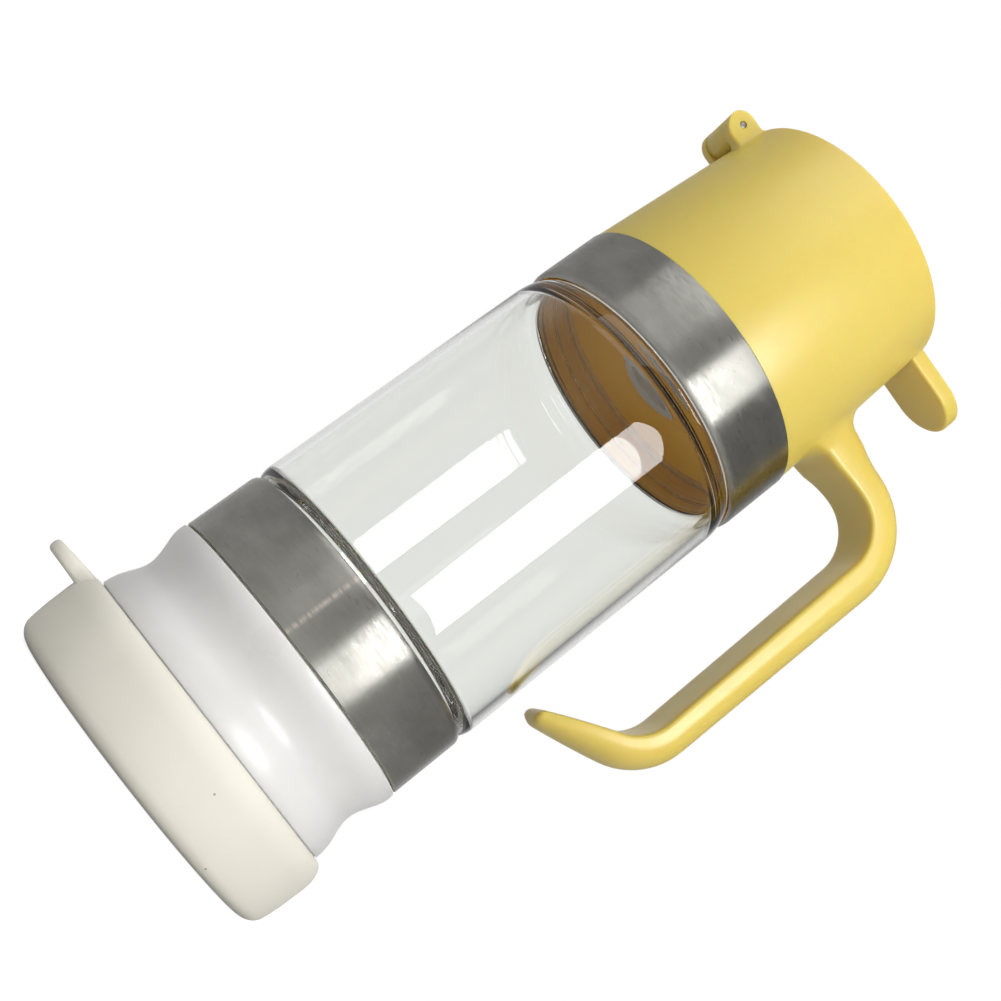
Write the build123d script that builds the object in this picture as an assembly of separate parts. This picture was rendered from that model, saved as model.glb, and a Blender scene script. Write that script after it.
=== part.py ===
from build123d import *
import os
from math import cos, radians, sin

# Honey dispenser, in millimetres, with +Z up and its origin on the bottle's axis,
# at the underside of the base cap. +X points to the handle and the thumb tab,
# -X to the lid's hinge and the base cap's pull tab.

# Heights seen from outside, from the table up
CAP_HEIGHT = 19.0
BULB_SHOW = 22.0
BAND_HEIGHT = 18.2
GLASS_SHOW = 81.2
HEAD_SHOW = 53.3

# Clearances
LOOSE = 0.3
SNUG = 0.05
RUNNING = 0.06

# Base cap: a soft cup that covers the outlet and is the foot
CAP_WALL = 3.35
CAP_TAPER = 1.4
CAP_RIM_RISE = 5.0
CAP_RIM_FLAT = 0.4
CAP_FLOOR = 3.0
CAP_EDGE = 3.0
CAP_INNER_EDGE = 1.5
PULL_TAB_REACH = 51.6
PULL_TAB_WIDTH = 16.0
PULL_TAB_THICK = 3.2
PULL_TAB_DROOP = 4.5
PULL_TAB_FLARE = 2.5

# Squeeze bulb: waisted soft body with a funnel floor and an outlet
BULB_RADIUS = 37.75
BULB_WALL = 1.8
WAIST_HEIGHT = 29.7
WAIST_DEPTH = 2.35
WAIST_ABOVE = 8.4
WAIST_BELOW = 9.4
WAIST_SLOPE = 4.0
FOOT_RING_WIDTH = 4.0
FOOT_EDGE = 4.0
FUNNEL_RIM = 15.5
FUNNEL_FALL = 6.0
OUTLET_RADIUS = 9.2
OUTLET_LIFT = 0.8
OUTLET_WALL = 1.8
OUTLET_LEDGE = 2.0
BULB_NECK_WALL = 2.0
FLANGE_THICK = 2.0

# Outlet valve and the ring that clips it in
VALVE_THICK = 1.2
VALVE_DOME_RADIUS = 4.8
VALVE_SLIT = 0.3
VALVE_RING_HEIGHT = 2.0
VALVE_RING_WALL = 1.7

# Steel bands and the threaded collars under them
BAND_RADIUS = 37.5
BAND_SHEET = 0.4
LIP_REACH = 1.0
LIP_RISE = 1.9
COLLAR_BORE = 36.0
LEDGE_THICK = 2.0
LEDGE_BORE = 31.0

# Glass tube, the same at both ends
GLASS_RADIUS = 37.5
GLASS_WALL = 2.2
NECK_RADIUS = 35.0
NECK_WALL = 2.0
NECK_LENGTH = 8.7
SHOULDER_RISE = 7.5
SHOULDER_TUCK = 0.7
RIM_ROUND = 0.9
GASKET_THICK = 1.2
GASKET_WIDTH = 2.4

# Floor of the head and the soft valve in its port
PARTITION_THICK = 2.2
SPIGOT_HEIGHT = 5.0
SPIGOT_WALL = 1.6
PORT_RADIUS = 8.6
PORT_FLANGE = 10.2
PORT_OPENING = 6.8
PORT_PROUD = 1.6
PORT_TOP_FLANGE = 1.2
PORT_MEMBRANE = 0.8
PORT_SLIT = 0.3

# Head shell
HEAD_RADIUS = 37.3
HEAD_TOP_RADIUS = 34.8
HEAD_WALL = 2.4
HEAD_EDGE = 0.6
SHELF_DROP = 6.4
SHELF_THICK = 2.0
SHELF_WIDTH = 6.0
RIM_WALL = 1.1
RECESS_WALL = 2.8

# Lid with its seal, thumb tab and knuckle
LID_THICK = 3.0
LID_TRIM_DEPTH = 3.8
PLUG_DEPTH = 2.8
PLUG_WALL = 1.8
SEAL_THICK = 1.0
SEAL_WIDTH = 1.2
SEAL_SINK = 0.5
TAB_REACH = 54.8
TAB_WIDTH = 19.2
TAB_THICK = 4.0
TAB_SINK = 2.7
TAB_EDGE = 0.7

# Hinge
HINGE_OUT = 3.5
HINGE_DROP = 6.2
HINGE_WIDTH = 18.5
EAR_THICK = 3.6
EAR_RADIUS = 3.9
EAR_FOOT = 4.3
EAR_ROUND = 0.6
EAR_FILLET = 1.5
HINGE_PLAY = 0.15
KNUCKLE_RADIUS = 3.8
PIN_RADIUS = 0.9

# Handle strap: flat inside, crowned outside, with a free lower end
STRAP_WIDTH = 18.5
STRAP_DEPTH = 10.5
STRAP_SIDE = 0.3
STRAP_CORNER = 1.2
ARM_HEIGHT = 20.3
HANDLE_REACH = 69.85
CORNER_BEND = 17.5
GRIP_LENGTH = 61.3
GRIP_TAPER = 1.2
HOOK_BEND = 15.9
HOOK_TURN = 61.5
HOOK_LENGTH = 20.0
TIP_DEPTH = 4.2
TIP_WIDTH = 13.5
ROOT_FLARE = 12.7
ROOT_SPREAD = 6.0

# Levels and radii that follow
CAP_BORE = BULB_RADIUS + LOOSE
CAP_RADIUS = CAP_BORE + CAP_WALL
LOW_BAND_FOOT = CAP_HEIGHT + BULB_SHOW
LOW_LIP = LOW_BAND_FOOT + BAND_HEIGHT
HIGH_LIP = LOW_LIP + GLASS_SHOW
HIGH_BAND_TOP = HIGH_LIP + BAND_HEIGHT
TOP = HIGH_BAND_TOP + HEAD_SHOW
GLASS_MIDDLE = (LOW_LIP + HIGH_LIP) / 2
LOW_SHOULDER = LOW_LIP - SHOULDER_TUCK
LOW_RIM = LOW_SHOULDER - NECK_LENGTH
HIGH_RIM = 2 * GLASS_MIDDLE - LOW_RIM
NECK_BORE = NECK_RADIUS - NECK_WALL
COLLAR_RADIUS = BAND_RADIUS - BAND_SHEET - SNUG
LEDGE_TOP = LOW_RIM - FLANGE_THICK
PARTITION = HIGH_RIM + GASKET_THICK
FLOOR_TOP = PARTITION + PARTITION_THICK
SHELF_TOP = TOP - SHELF_DROP
LID_FOOT = SHELF_TOP + SEAL_THICK - SEAL_SINK
RECESS_TOP_RADIUS = HEAD_TOP_RADIUS - RIM_WALL
RECESS_RADIUS = HEAD_TOP_RADIUS - RECESS_WALL
SHELF_BORE = RECESS_RADIUS - SHELF_WIDTH
LID_RADIUS = RECESS_RADIUS - LOOSE
LID_TRIM = LID_RADIUS - LID_TRIM_DEPTH
TAB_ROOT = LID_RADIUS - TAB_SINK
HINGE_HEIGHT = TOP - HINGE_DROP
HINGE_REACH = HEAD_TOP_RADIUS + HINGE_OUT
KNUCKLE_WIDTH = HINGE_WIDTH - 2 * EAR_THICK - 2 * HINGE_PLAY


def turned(*outline):
    """Solid of revolution about Z from a closed outline given as (radius, height)."""
    return revolve(Plane.XZ * make_face(list(outline)), Axis.Z)


def rounded(points, rounds):
    """Closed polygon in (radius, height) with some corners rounded: {corner: radius}."""
    sketch = make_face(Polyline(*points, close=True))
    for (x, z), radius in rounds.items():
        corner = sketch.vertices().sort_by_distance((x, z, 0))[0]
        sketch = fillet(corner, radius)
    return sketch


def ring(inner, outer, low, high):
    """Plain ring of rectangular section."""
    section = make_face(Polyline((inner, low), (outer, low), (outer, high), (inner, high), close=True))
    return revolve(Plane.XZ * section, Axis.Z)


def disc(radius, low, high):
    """Plain disc on the axis."""
    return Pos(0, 0, low) * Cylinder(radius, high - low, align=(Align.CENTER, Align.CENTER, Align.MIN))


def block(x_span, y_span, z_span):
    """Box between the given limits."""
    size = [span[1] - span[0] for span in (x_span, y_span, z_span)]
    middle = [(span[1] + span[0]) / 2 for span in (x_span, y_span, z_span)]
    return Pos(*middle) * Box(*size)


def across(x, z, radius, width):
    """Cylinder along Y, centred on the XZ plane."""
    return Pos(x, 0, z) * Rot(90, 0, 0) * Cylinder(radius, width)


def cross_slits(low, high, length, width):
    """The two crossed cuts of a slit valve."""
    half = length / 2
    first = block((-half, half), (-width / 2, width / 2), (low, high))
    second = block((-width / 2, width / 2), (-half, half), (low, high))
    return first + second


def make_base_cap():
    """Cup with a bulging side and a rounded rim, and the thin tab that it is pulled off by."""
    foot = CAP_RADIUS - CAP_TAPER
    widest = CAP_HEIGHT - CAP_RIM_RISE
    rim = CAP_BORE + CAP_RIM_FLAT
    walls = Polyline((foot, 0), (0, 0), (0, CAP_FLOOR), (CAP_BORE, CAP_FLOOR), (CAP_BORE, CAP_HEIGHT), (rim, CAP_HEIGHT))
    shoulder = EllipticalCenterArc((rim, widest), CAP_RADIUS - rim, CAP_RIM_RISE, start_angle=0, arc_size=90)
    side = TangentArc((CAP_RADIUS, widest), (foot, 0), tangent=(0, -1))
    outline = make_face([*walls.edges(), shoulder, side])
    outline = fillet(outline.vertices().sort_by_distance((foot, 0, 0))[0], CAP_EDGE)
    outline = fillet(outline.vertices().sort_by_distance((CAP_BORE, CAP_FLOOR, 0))[0], CAP_INNER_EDGE)
    return revolve(Plane.XZ * outline, Axis.Z) + pull_tab()


def pull_tab():
    """Flat tongue with a round end and a wider root, level with the rim and drooping a little outwards."""
    half = PULL_TAB_WIDTH / 2
    root_half = half + PULL_TAB_FLARE
    root = CAP_BORE + LOOSE
    neck = CAP_RADIUS + LOOSE
    end = PULL_TAB_REACH - half
    sides = Polyline((-end, half), (-neck, half), (-root, root_half), (-root, -root_half), (-neck, -half), (-end, -half))
    tongue = extrude(make_face(sides + ThreePointArc((-end, -half), (-PULL_TAB_REACH, 0), (-end, half))), PULL_TAB_THICK)
    tongue = fillet(tongue.edges().filter_by(GeomType.CIRCLE), PULL_TAB_THICK * 0.4)
    hang = Pos(-root, 0, CAP_HEIGHT) * Rot(0, -PULL_TAB_DROOP, 0) * Pos(root, 0, -PULL_TAB_THICK)
    beyond = Pos(0, 0, -CAP_HEIGHT) * Cylinder(CAP_RADIUS * 2, CAP_HEIGHT * 4) - Cylinder(root, CAP_HEIGHT * 8)
    return hang * tongue & beyond


def waist(radius):
    """Waisted stretch of the bulb's wall, running down."""
    return Spline(
        (radius, WAIST_HEIGHT + WAIST_ABOVE),
        (radius - WAIST_DEPTH / 2, WAIST_HEIGHT + WAIST_SLOPE),
        (radius - WAIST_DEPTH, WAIST_HEIGHT),
        (radius - WAIST_DEPTH / 2, WAIST_HEIGHT - WAIST_SLOPE),
        (radius, WAIST_HEIGHT - WAIST_BELOW),
        tangents=[(0, -1), (0, -1)],
    )


OUTLET_FOOT = CAP_FLOOR + OUTLET_LIFT
OUTLET_BORE = OUTLET_RADIUS - OUTLET_WALL
OUTLET_LEDGE_TOP = OUTLET_FOOT + OUTLET_LEDGE
OUTLET_OPENING = VALVE_DOME_RADIUS + LOOSE


def make_squeeze_bulb():
    """Soft waisted body: a flange over the collar's ledge, a funnel floor and the outlet."""
    inner = BULB_RADIUS - BULB_WALL
    neck = LEDGE_BORE - LOOSE
    throat = neck - BULB_NECK_WALL
    collar_fit = COLLAR_BORE - LOOSE
    ledge_foot = LEDGE_TOP - LEDGE_THICK
    funnel_low = FUNNEL_RIM - FUNNEL_FALL
    top_inner = collar_fit - BULB_WALL
    upper = WAIST_HEIGHT + WAIST_ABOVE
    lower = WAIST_HEIGHT - WAIST_BELOW
    outside = (
        Polyline(
            (throat, LOW_RIM),
            (NECK_RADIUS, LOW_RIM),
            (NECK_RADIUS, LEDGE_TOP),
            (neck, LEDGE_TOP),
            (neck, ledge_foot),
            (collar_fit, ledge_foot),
            (collar_fit, LOW_BAND_FOOT),
            (BULB_RADIUS, LOW_BAND_FOOT),
            (BULB_RADIUS, upper),
        )
        + waist(BULB_RADIUS)
        + Line((BULB_RADIUS, lower), (BULB_RADIUS, CAP_FLOOR + FOOT_EDGE))
        + RadiusArc((BULB_RADIUS, CAP_FLOOR + FOOT_EDGE), (BULB_RADIUS - FOOT_EDGE, CAP_FLOOR), FOOT_EDGE)
    )
    underside = Polyline(
        (BULB_RADIUS - FOOT_EDGE, CAP_FLOOR),
        (inner - FOOT_RING_WIDTH, CAP_FLOOR),
        (inner, CAP_FLOOR + FOOT_EDGE),
        (inner, FUNNEL_RIM - BULB_WALL),
        (OUTLET_RADIUS, funnel_low - BULB_WALL),
        (OUTLET_RADIUS, OUTLET_FOOT),
        (OUTLET_OPENING, OUTLET_FOOT),
    )
    inside = (
        Polyline(
            (OUTLET_OPENING, OUTLET_FOOT),
            (OUTLET_OPENING, OUTLET_LEDGE_TOP),
            (OUTLET_BORE, OUTLET_LEDGE_TOP),
            (OUTLET_BORE, funnel_low),
            (inner, FUNNEL_RIM),
            (inner, lower),
        )
        + waist(inner)
        + Polyline(
            (inner, upper),
            (top_inner, LOW_BAND_FOOT),
            (top_inner, ledge_foot - BULB_WALL),
            (throat, ledge_foot),
            (throat, LOW_RIM),
        )
    )
    return turned(*outside.edges(), *underside.edges(), *inside.edges())


def make_outlet_valve():
    """Round silicone valve: a flat flange and a domed middle cut by two crossed slits."""
    flange_radius = OUTLET_BORE - SNUG
    low = OUTLET_LEDGE_TOP
    dome_low = OUTLET_FOOT
    flange = disc(flange_radius, low, low + VALVE_THICK)
    well = ring(VALVE_DOME_RADIUS - VALVE_THICK, VALVE_DOME_RADIUS, dome_low, low)
    floor = disc(VALVE_DOME_RADIUS, dome_low, dome_low + VALVE_THICK)
    hollow = disc(VALVE_DOME_RADIUS - VALVE_THICK, dome_low + VALVE_THICK, low + 2 * VALVE_THICK)
    slit_length = 2 * (VALVE_DOME_RADIUS - 2 * VALVE_THICK)
    slits = cross_slits(dome_low - LOOSE, dome_low + VALVE_THICK + LOOSE, slit_length, VALVE_SLIT)
    return flange + well + floor - hollow - slits


def make_valve_ring():
    """Stiff ring pressed in above the valve's flange."""
    outer = OUTLET_BORE - SNUG
    low = OUTLET_LEDGE_TOP + VALVE_THICK
    return ring(outer - VALVE_RING_WALL, outer, low, low + VALVE_RING_HEIGHT)


def band_outline():
    """Section of a steel band: a straight wall whose last stretch rolls inwards."""
    inner = BAND_RADIUS - BAND_SHEET
    start = BAND_HEIGHT - LIP_RISE
    tip = BAND_RADIUS - LIP_REACH
    outside = EllipticalCenterArc((tip, start), LIP_REACH, LIP_RISE, start_angle=0, arc_size=90)
    inside = EllipticalCenterArc((tip, start), LIP_REACH - BAND_SHEET, LIP_RISE - BAND_SHEET, start_angle=0, arc_size=90)
    sides = [
        Line((inner, 0), (BAND_RADIUS, 0)),
        Line((BAND_RADIUS, 0), (BAND_RADIUS, start)),
        Line((tip, BAND_HEIGHT), (tip, BAND_HEIGHT - BAND_SHEET)),
        Line((inner, start), (inner, 0)),
    ]
    return make_face([*sides, outside, inside])


def make_lower_band():
    """Steel band round the lower collar, its lip up."""
    return Pos(0, 0, LOW_BAND_FOOT) * revolve(Plane.XZ * band_outline(), Axis.Z)


def make_upper_band():
    """The same band round the upper collar, its lip down."""
    return Pos(0, 0, HIGH_BAND_TOP) * Rot(180, 0, 0) * revolve(Plane.XZ * band_outline(), Axis.Z)


def make_lower_collar():
    """Threaded ring inside the lower band, with the ledge that holds the bulb's flange."""
    top = LOW_LIP - LIP_RISE
    wall = ring(COLLAR_BORE, COLLAR_RADIUS, LOW_BAND_FOOT, top)
    ledge = ring(LEDGE_BORE, COLLAR_BORE + SNUG, LEDGE_TOP - LEDGE_THICK, LEDGE_TOP)
    return wall + ledge


def make_glass_tube():
    """Clear tube with a rounded shoulder and a plain neck at each end."""
    inner = GLASS_RADIUS - GLASS_WALL
    shoulder_top = LOW_SHOULDER + SHOULDER_RISE
    outer_reach = GLASS_RADIUS - NECK_RADIUS
    inner_reach = inner - NECK_BORE
    inner_rise = SHOULDER_RISE - GLASS_WALL / 2
    outside = EllipticalCenterArc((NECK_RADIUS, shoulder_top), outer_reach, SHOULDER_RISE, start_angle=-90, arc_size=90)
    inside = EllipticalCenterArc((NECK_BORE, shoulder_top), inner_reach, inner_rise, start_angle=-90, arc_size=90)
    lines = [
        Line((NECK_BORE, LOW_RIM), (NECK_RADIUS, LOW_RIM)),
        Line((NECK_RADIUS, LOW_RIM), (NECK_RADIUS, LOW_SHOULDER)),
        Line((GLASS_RADIUS, shoulder_top), (GLASS_RADIUS, GLASS_MIDDLE)),
        Line((GLASS_RADIUS, GLASS_MIDDLE), (inner, GLASS_MIDDLE)),
        Line((inner, GLASS_MIDDLE), (inner, shoulder_top)),
        Line((NECK_BORE, shoulder_top - inner_rise), (NECK_BORE, LOW_RIM)),
    ]
    section = make_face([*lines, outside, inside])
    section = fillet(section.vertices().group_by(Axis.Y)[0], RIM_ROUND)
    half = revolve(Plane.XZ * section, Axis.Z)
    return half + mirror(half, about=Plane.XY.offset(GLASS_MIDDLE))


def make_upper_gasket():
    """Flat silicone washer between the glass rim and the head's floor."""
    return ring(NECK_RADIUS - GASKET_WIDTH, NECK_RADIUS, HIGH_RIM, PARTITION)


def make_upper_collar():
    """Threaded insert of the head: collar, floor with its port, and the spigot in the shell."""
    low = HIGH_LIP + LIP_RISE
    spigot_top = HIGH_BAND_TOP + SPIGOT_HEIGHT
    spigot_radius = HEAD_RADIUS - HEAD_WALL - SNUG
    spigot_bore = spigot_radius - SPIGOT_WALL
    outline = Polyline(
        (COLLAR_BORE, low),
        (COLLAR_RADIUS, low),
        (COLLAR_RADIUS, HIGH_BAND_TOP),
        (spigot_radius, HIGH_BAND_TOP),
        (spigot_radius, spigot_top),
        (spigot_bore, spigot_top),
        (spigot_bore, FLOOR_TOP),
        (PORT_RADIUS, FLOOR_TOP),
        (PORT_RADIUS, PARTITION),
        (COLLAR_BORE, PARTITION),
        close=True,
    )
    return turned(*outline.edges())


def make_port_valve():
    """Silicone grommet that grips the port's edge, closed by a thin slit membrane."""
    neck = PORT_RADIUS - SNUG
    low = PARTITION - PORT_PROUD
    grommet = ring(PORT_OPENING, PORT_FLANGE, low, PARTITION)
    grommet += ring(PORT_OPENING, neck, PARTITION, FLOOR_TOP)
    grommet += ring(PORT_OPENING, PORT_FLANGE, FLOOR_TOP, FLOOR_TOP + PORT_TOP_FLANGE)
    membrane = disc(PORT_OPENING + SNUG, FLOOR_TOP - PORT_MEMBRANE, FLOOR_TOP)
    slits = cross_slits(PARTITION, FLOOR_TOP + LOOSE, PORT_OPENING * 1.4, PORT_SLIT)
    return grommet + (membrane - slits)


def head_radius_at(height):
    """Outer radius of the drafted shell."""
    rise = (height - HIGH_BAND_TOP) / HEAD_SHOW
    return HEAD_RADIUS + (HEAD_TOP_RADIUS - HEAD_RADIUS) * rise


def make_head_shell():
    """Drafted cylinder with the lid's recess and shelf, the hinge ears and the handle."""
    chamber_foot = HEAD_RADIUS - HEAD_WALL
    chamber_top = head_radius_at(SHELF_TOP) - HEAD_WALL
    outline = rounded(
        [
            (chamber_foot, HIGH_BAND_TOP),
            (HEAD_RADIUS, HIGH_BAND_TOP),
            (HEAD_TOP_RADIUS, TOP),
            (RECESS_TOP_RADIUS, TOP),
            (RECESS_RADIUS, SHELF_TOP),
            (SHELF_BORE, SHELF_TOP),
            (SHELF_BORE, SHELF_TOP - SHELF_THICK),
            (chamber_top, SHELF_TOP - SHELF_THICK),
            (chamber_foot, HIGH_BAND_TOP + SPIGOT_HEIGHT),
        ],
        {(HEAD_TOP_RADIUS, TOP): HEAD_EDGE},
    )
    shell = revolve(Plane.XZ * outline, Axis.Z)
    hollow = disc(chamber_foot, HIGH_BAND_TOP, HIGH_BAND_TOP + SPIGOT_HEIGHT)
    handle = make_handle() - disc(head_radius_at(HANDLE_HEIGHT) - HEAD_WALL / 2, 0, TOP)
    shell = with_ears(shell) + handle - hollow
    return shell - lid_notches() - hinge_relief()


def lid_notches():
    """Cuts through the rim for the thumb tab and for the lid's hinge arm."""
    tab_half = TAB_WIDTH / 2 + LOOSE
    arm_half = KNUCKLE_WIDTH / 2 + HINGE_PLAY
    tab_cut = block((RECESS_RADIUS - TAB_WIDTH / 2, TAB_REACH), (-tab_half, tab_half), (SHELF_TOP, TOP + LOOSE))
    arm_cut = block((-HINGE_REACH - EAR_RADIUS, -LID_TRIM), (-arm_half, arm_half), (SHELF_TOP, TOP + LOOSE))
    return tab_cut + arm_cut


def hinge_relief():
    """Hollow in the wall that the turning knuckle clears."""
    return across(-HINGE_REACH, HINGE_HEIGHT, KNUCKLE_RADIUS + LOOSE, KNUCKLE_WIDTH + 2 * HINGE_PLAY)


def with_ears(shell):
    """The shell with two D-shaped ears, rounded outside, filleted into the wall and bored for the pin."""
    inside = RECESS_TOP_RADIUS
    start = (inside**2 - (HINGE_WIDTH / 2) ** 2) ** 0.5
    low = HINGE_HEIGHT - EAR_FOOT
    high = HINGE_HEIGHT + EAR_RADIUS
    outline = make_face(
        Polyline((-HINGE_REACH, high), (-start, high), (-start, low), (-HINGE_REACH, HINGE_HEIGHT - EAR_RADIUS))
        + ThreePointArc(
            (-HINGE_REACH, HINGE_HEIGHT - EAR_RADIUS),
            (-HINGE_REACH - EAR_RADIUS, HINGE_HEIGHT),
            (-HINGE_REACH, high),
        )
    )
    ears = extrude(Plane.XZ * outline, HINGE_WIDTH / 2, both=True)
    ends = [edge for edge in ears.edges().filter_by(GeomType.CIRCLE) if (edge @ 0.5).X < -HINGE_REACH]
    ears = fillet(ends, EAR_ROUND) - disc(inside, 0, TOP * 2)
    joined = shell + ears
    joined = fillet([edge for edge in joined.edges() if is_ear_root(edge)], EAR_FILLET)
    gap = KNUCKLE_WIDTH / 2 + HINGE_PLAY
    slot_foot = low - EAR_FILLET - LOOSE
    slot = block((-HINGE_REACH * 2, -HEAD_TOP_RADIUS + LOOSE), (-gap, gap), (slot_foot, high + LOOSE))
    slot -= Pos(0, 0, TOP - HEAD_SHOW / 2) * Cone(HEAD_RADIUS, HEAD_TOP_RADIUS, HEAD_SHOW)
    bore = across(-HINGE_REACH, HINGE_HEIGHT, PIN_RADIUS + SNUG, HINGE_WIDTH * 2)
    return joined - slot - bore


def is_ear_root(edge):
    """Whether an edge runs where the ears meet the wall."""
    middle = edge @ 0.5
    beside = HINGE_HEIGHT - EAR_FOOT - 1 < middle.Z < HINGE_HEIGHT + EAR_RADIUS - SNUG
    on_wall = abs((middle.X**2 + middle.Y**2) ** 0.5 - head_radius_at(middle.Z)) < SNUG
    return middle.X < 0 and beside and on_wall


HANDLE_HEIGHT = HIGH_BAND_TOP + ARM_HEIGHT


def strap_section(width, depth):
    """D-shaped section: flat on the finger side, crowned on the other, centred on the path."""
    half = width / 2
    corner = min(STRAP_CORNER, depth / 3)
    low = -depth / 2
    side = low + max(depth * STRAP_SIDE, corner * 1.1)
    crown = EllipticalCenterArc((0, side), half, depth / 2 - side, start_angle=0, arc_size=180)
    left = Line((-half, side), (-half, low + corner))
    left_corner = RadiusArc((-half, low + corner), (-half + corner, low), -corner)
    flat = Line((-half + corner, low), (half - corner, low))
    right_corner = RadiusArc((half - corner, low), (half, low + corner), -corner)
    right = Line((half, low + corner), (half, side))
    return make_face([crown, left, left_corner, flat, right_corner, right])


def strap_at(line, share, width, depth):
    """Strap section squarely across a stretch of the centre line."""
    place = Plane(origin=line @ share, x_dir=(0, 1, 0), z_dir=line % share)
    return place * strap_section(width, depth)


def make_handle():
    """Strap along its centre line: flared arm, bend, grip, lower bend and tapered free end."""
    side_on = Plane(origin=(0, 0, 0), x_dir=(1, 0, 0), z_dir=(0, -1, 0))
    arm_end = (HANDLE_REACH - CORNER_BEND, HANDLE_HEIGHT)
    grip_top = (HANDLE_REACH, HANDLE_HEIGHT - CORNER_BEND)
    grip_low = (HANDLE_REACH - GRIP_TAPER / 2, grip_top[1] - GRIP_LENGTH)
    low_depth = STRAP_DEPTH - GRIP_TAPER
    root_half = (STRAP_WIDTH + ROOT_SPREAD) / 2
    root_reach = (head_radius_at(HANDLE_HEIGHT) ** 2 - root_half**2) ** 0.5 - HEAD_WALL / 2
    arm = side_on * Line((root_reach, HANDLE_HEIGHT), arm_end)
    grip = side_on * Line(grip_top, (HANDLE_REACH, grip_low[1]))
    hook = side_on * JernArc(grip_low, (0, -1), HOOK_BEND, -HOOK_TURN)
    end = Line(hook @ 1, (hook @ 1) + (hook % 1) * HOOK_LENGTH)

    root = []
    for share in (0, 0.2, 0.4, 0.6, 0.8, 1):
        fade = (1 - share) ** 2
        root.append(strap_at(arm, share, STRAP_WIDTH + ROOT_SPREAD * fade, STRAP_DEPTH + ROOT_FLARE * fade))
    bend_axis = Axis((arm_end[0], 0, grip_top[1]), (0, 1, 0))
    bend = revolve(strap_at(arm, 1, STRAP_WIDTH, STRAP_DEPTH), bend_axis, 90)
    straight = loft([strap_at(grip, 0, STRAP_WIDTH, STRAP_DEPTH), strap_at(hook, 0, STRAP_WIDTH, low_depth)])

    tip_round = TIP_DEPTH / 2
    taper = hook.length + end.length - tip_round
    stations = [(hook, share, share * hook.length) for share in (0, 0.33, 0.67, 1)]
    for share in (0.33, 0.67, 1):
        along = share * (end.length - tip_round)
        stations.append((end, along / end.length, hook.length + along))
    tail = []
    for line, share, along in stations:
        depth = low_depth + (TIP_DEPTH - low_depth) * (along / taper) ** 1.4
        width = STRAP_WIDTH + (TIP_WIDTH - STRAP_WIDTH) * (along / taper) ** 3
        tail.append(strap_at(line, share, width, depth))
    tip = []
    for angle in (0, 30, 55, 75):
        share = 1 - tip_round * (1 - sin(radians(angle))) / end.length
        scale = cos(radians(angle))
        tip.append(strap_at(end, share, TIP_WIDTH - TIP_DEPTH * (1 - scale), TIP_DEPTH * scale))
    return loft(root) + bend + straight + loft(tail) + loft(tip)


def make_lid():
    """Recessed plate with a plug, a thumb tab through the rim and a hinge knuckle."""
    high = LID_FOOT + LID_THICK
    trim = block((-LID_TRIM * 2, -LID_TRIM), (-LID_RADIUS, LID_RADIUS), (0, TOP * 2))
    plate = disc(LID_RADIUS, LID_FOOT, high) - trim
    plug_radius = SHELF_BORE - LOOSE - SNUG
    plug = ring(plug_radius - PLUG_WALL, plug_radius, LID_FOOT - PLUG_DEPTH, LID_FOOT)
    half = TAB_WIDTH / 2
    straight = TAB_REACH - half
    tab_plan = make_face(
        Polyline((straight, -half), (TAB_ROOT, -half), (TAB_ROOT, half), (straight, half))
        + ThreePointArc((straight, half), (TAB_REACH, 0), (straight, -half))
    )
    tab = Pos(0, 0, LID_FOOT) * extrude(tab_plan, TAB_THICK)
    tab = fillet(tab.edges().filter_by(GeomType.CIRCLE), TAB_EDGE)
    arm_half = KNUCKLE_WIDTH / 2
    arm = block((-HINGE_REACH, 0), (-arm_half, arm_half), (LID_FOOT, high))
    knuckle = across(-HINGE_REACH, HINGE_HEIGHT, KNUCKLE_RADIUS, KNUCKLE_WIDTH)
    lid = plate + plug + tab + arm + knuckle + rim_fillers()
    groove = ring(SHELF_BORE + LOOSE, SHELF_BORE + LOOSE + SEAL_WIDTH, LID_FOOT - LOOSE, LID_FOOT + SEAL_SINK)
    bore = across(-HINGE_REACH, HINGE_HEIGHT, PIN_RADIUS + RUNNING, HINGE_WIDTH)
    return lid - groove - bore


def rim_fillers():
    """Stretches of rim carried by the lid, which close the two notches flush."""
    high = TOP - HEAD_EDGE
    tall = high - LID_FOOT
    rim = Cone(head_radius_at(LID_FOOT), head_radius_at(high), tall) - Cylinder(RECESS_RADIUS, tall)
    rim = Pos(0, 0, LID_FOOT + tall / 2) * rim
    tab_half = TAB_WIDTH / 2
    arm_half = KNUCKLE_WIDTH / 2
    front = block((0, TAB_REACH), (-tab_half, tab_half), (0, TOP))
    rear = block((-TAB_REACH, 0), (-arm_half, arm_half), (0, TOP))
    return rim & (front + rear)


def make_lid_seal():
    """Silicone ring in the lid's groove that sits on the shelf."""
    inner = SHELF_BORE + LOOSE
    return ring(inner + SNUG, inner + SEAL_WIDTH - SNUG, SHELF_TOP, SHELF_TOP + SEAL_THICK)


def make_hinge_pin():
    """Steel pin, flush with the outer faces of the ears."""
    return across(-HINGE_REACH, HINGE_HEIGHT, PIN_RADIUS, HINGE_WIDTH)


PIECES = {
    "base_cap": make_base_cap,
    "squeeze_bulb": make_squeeze_bulb,
    "outlet_valve": make_outlet_valve,
    "valve_ring": make_valve_ring,
    "lower_collar": make_lower_collar,
    "lower_band": make_lower_band,
    "glass_tube": make_glass_tube,
    "upper_gasket": make_upper_gasket,
    "upper_band": make_upper_band,
    "upper_collar": make_upper_collar,
    "port_valve": make_port_valve,
    "head_shell": make_head_shell,
    "lid": make_lid,
    "lid_seal": make_lid_seal,
    "hinge_pin": make_hinge_pin,
}

os.makedirs("parts", exist_ok=True)
for name, make in PIECES.items():
    solid = make()
    export_step(solid, f"parts/{name}.step")
    print(name, len(solid.solids()), round(solid.volume))
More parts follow.
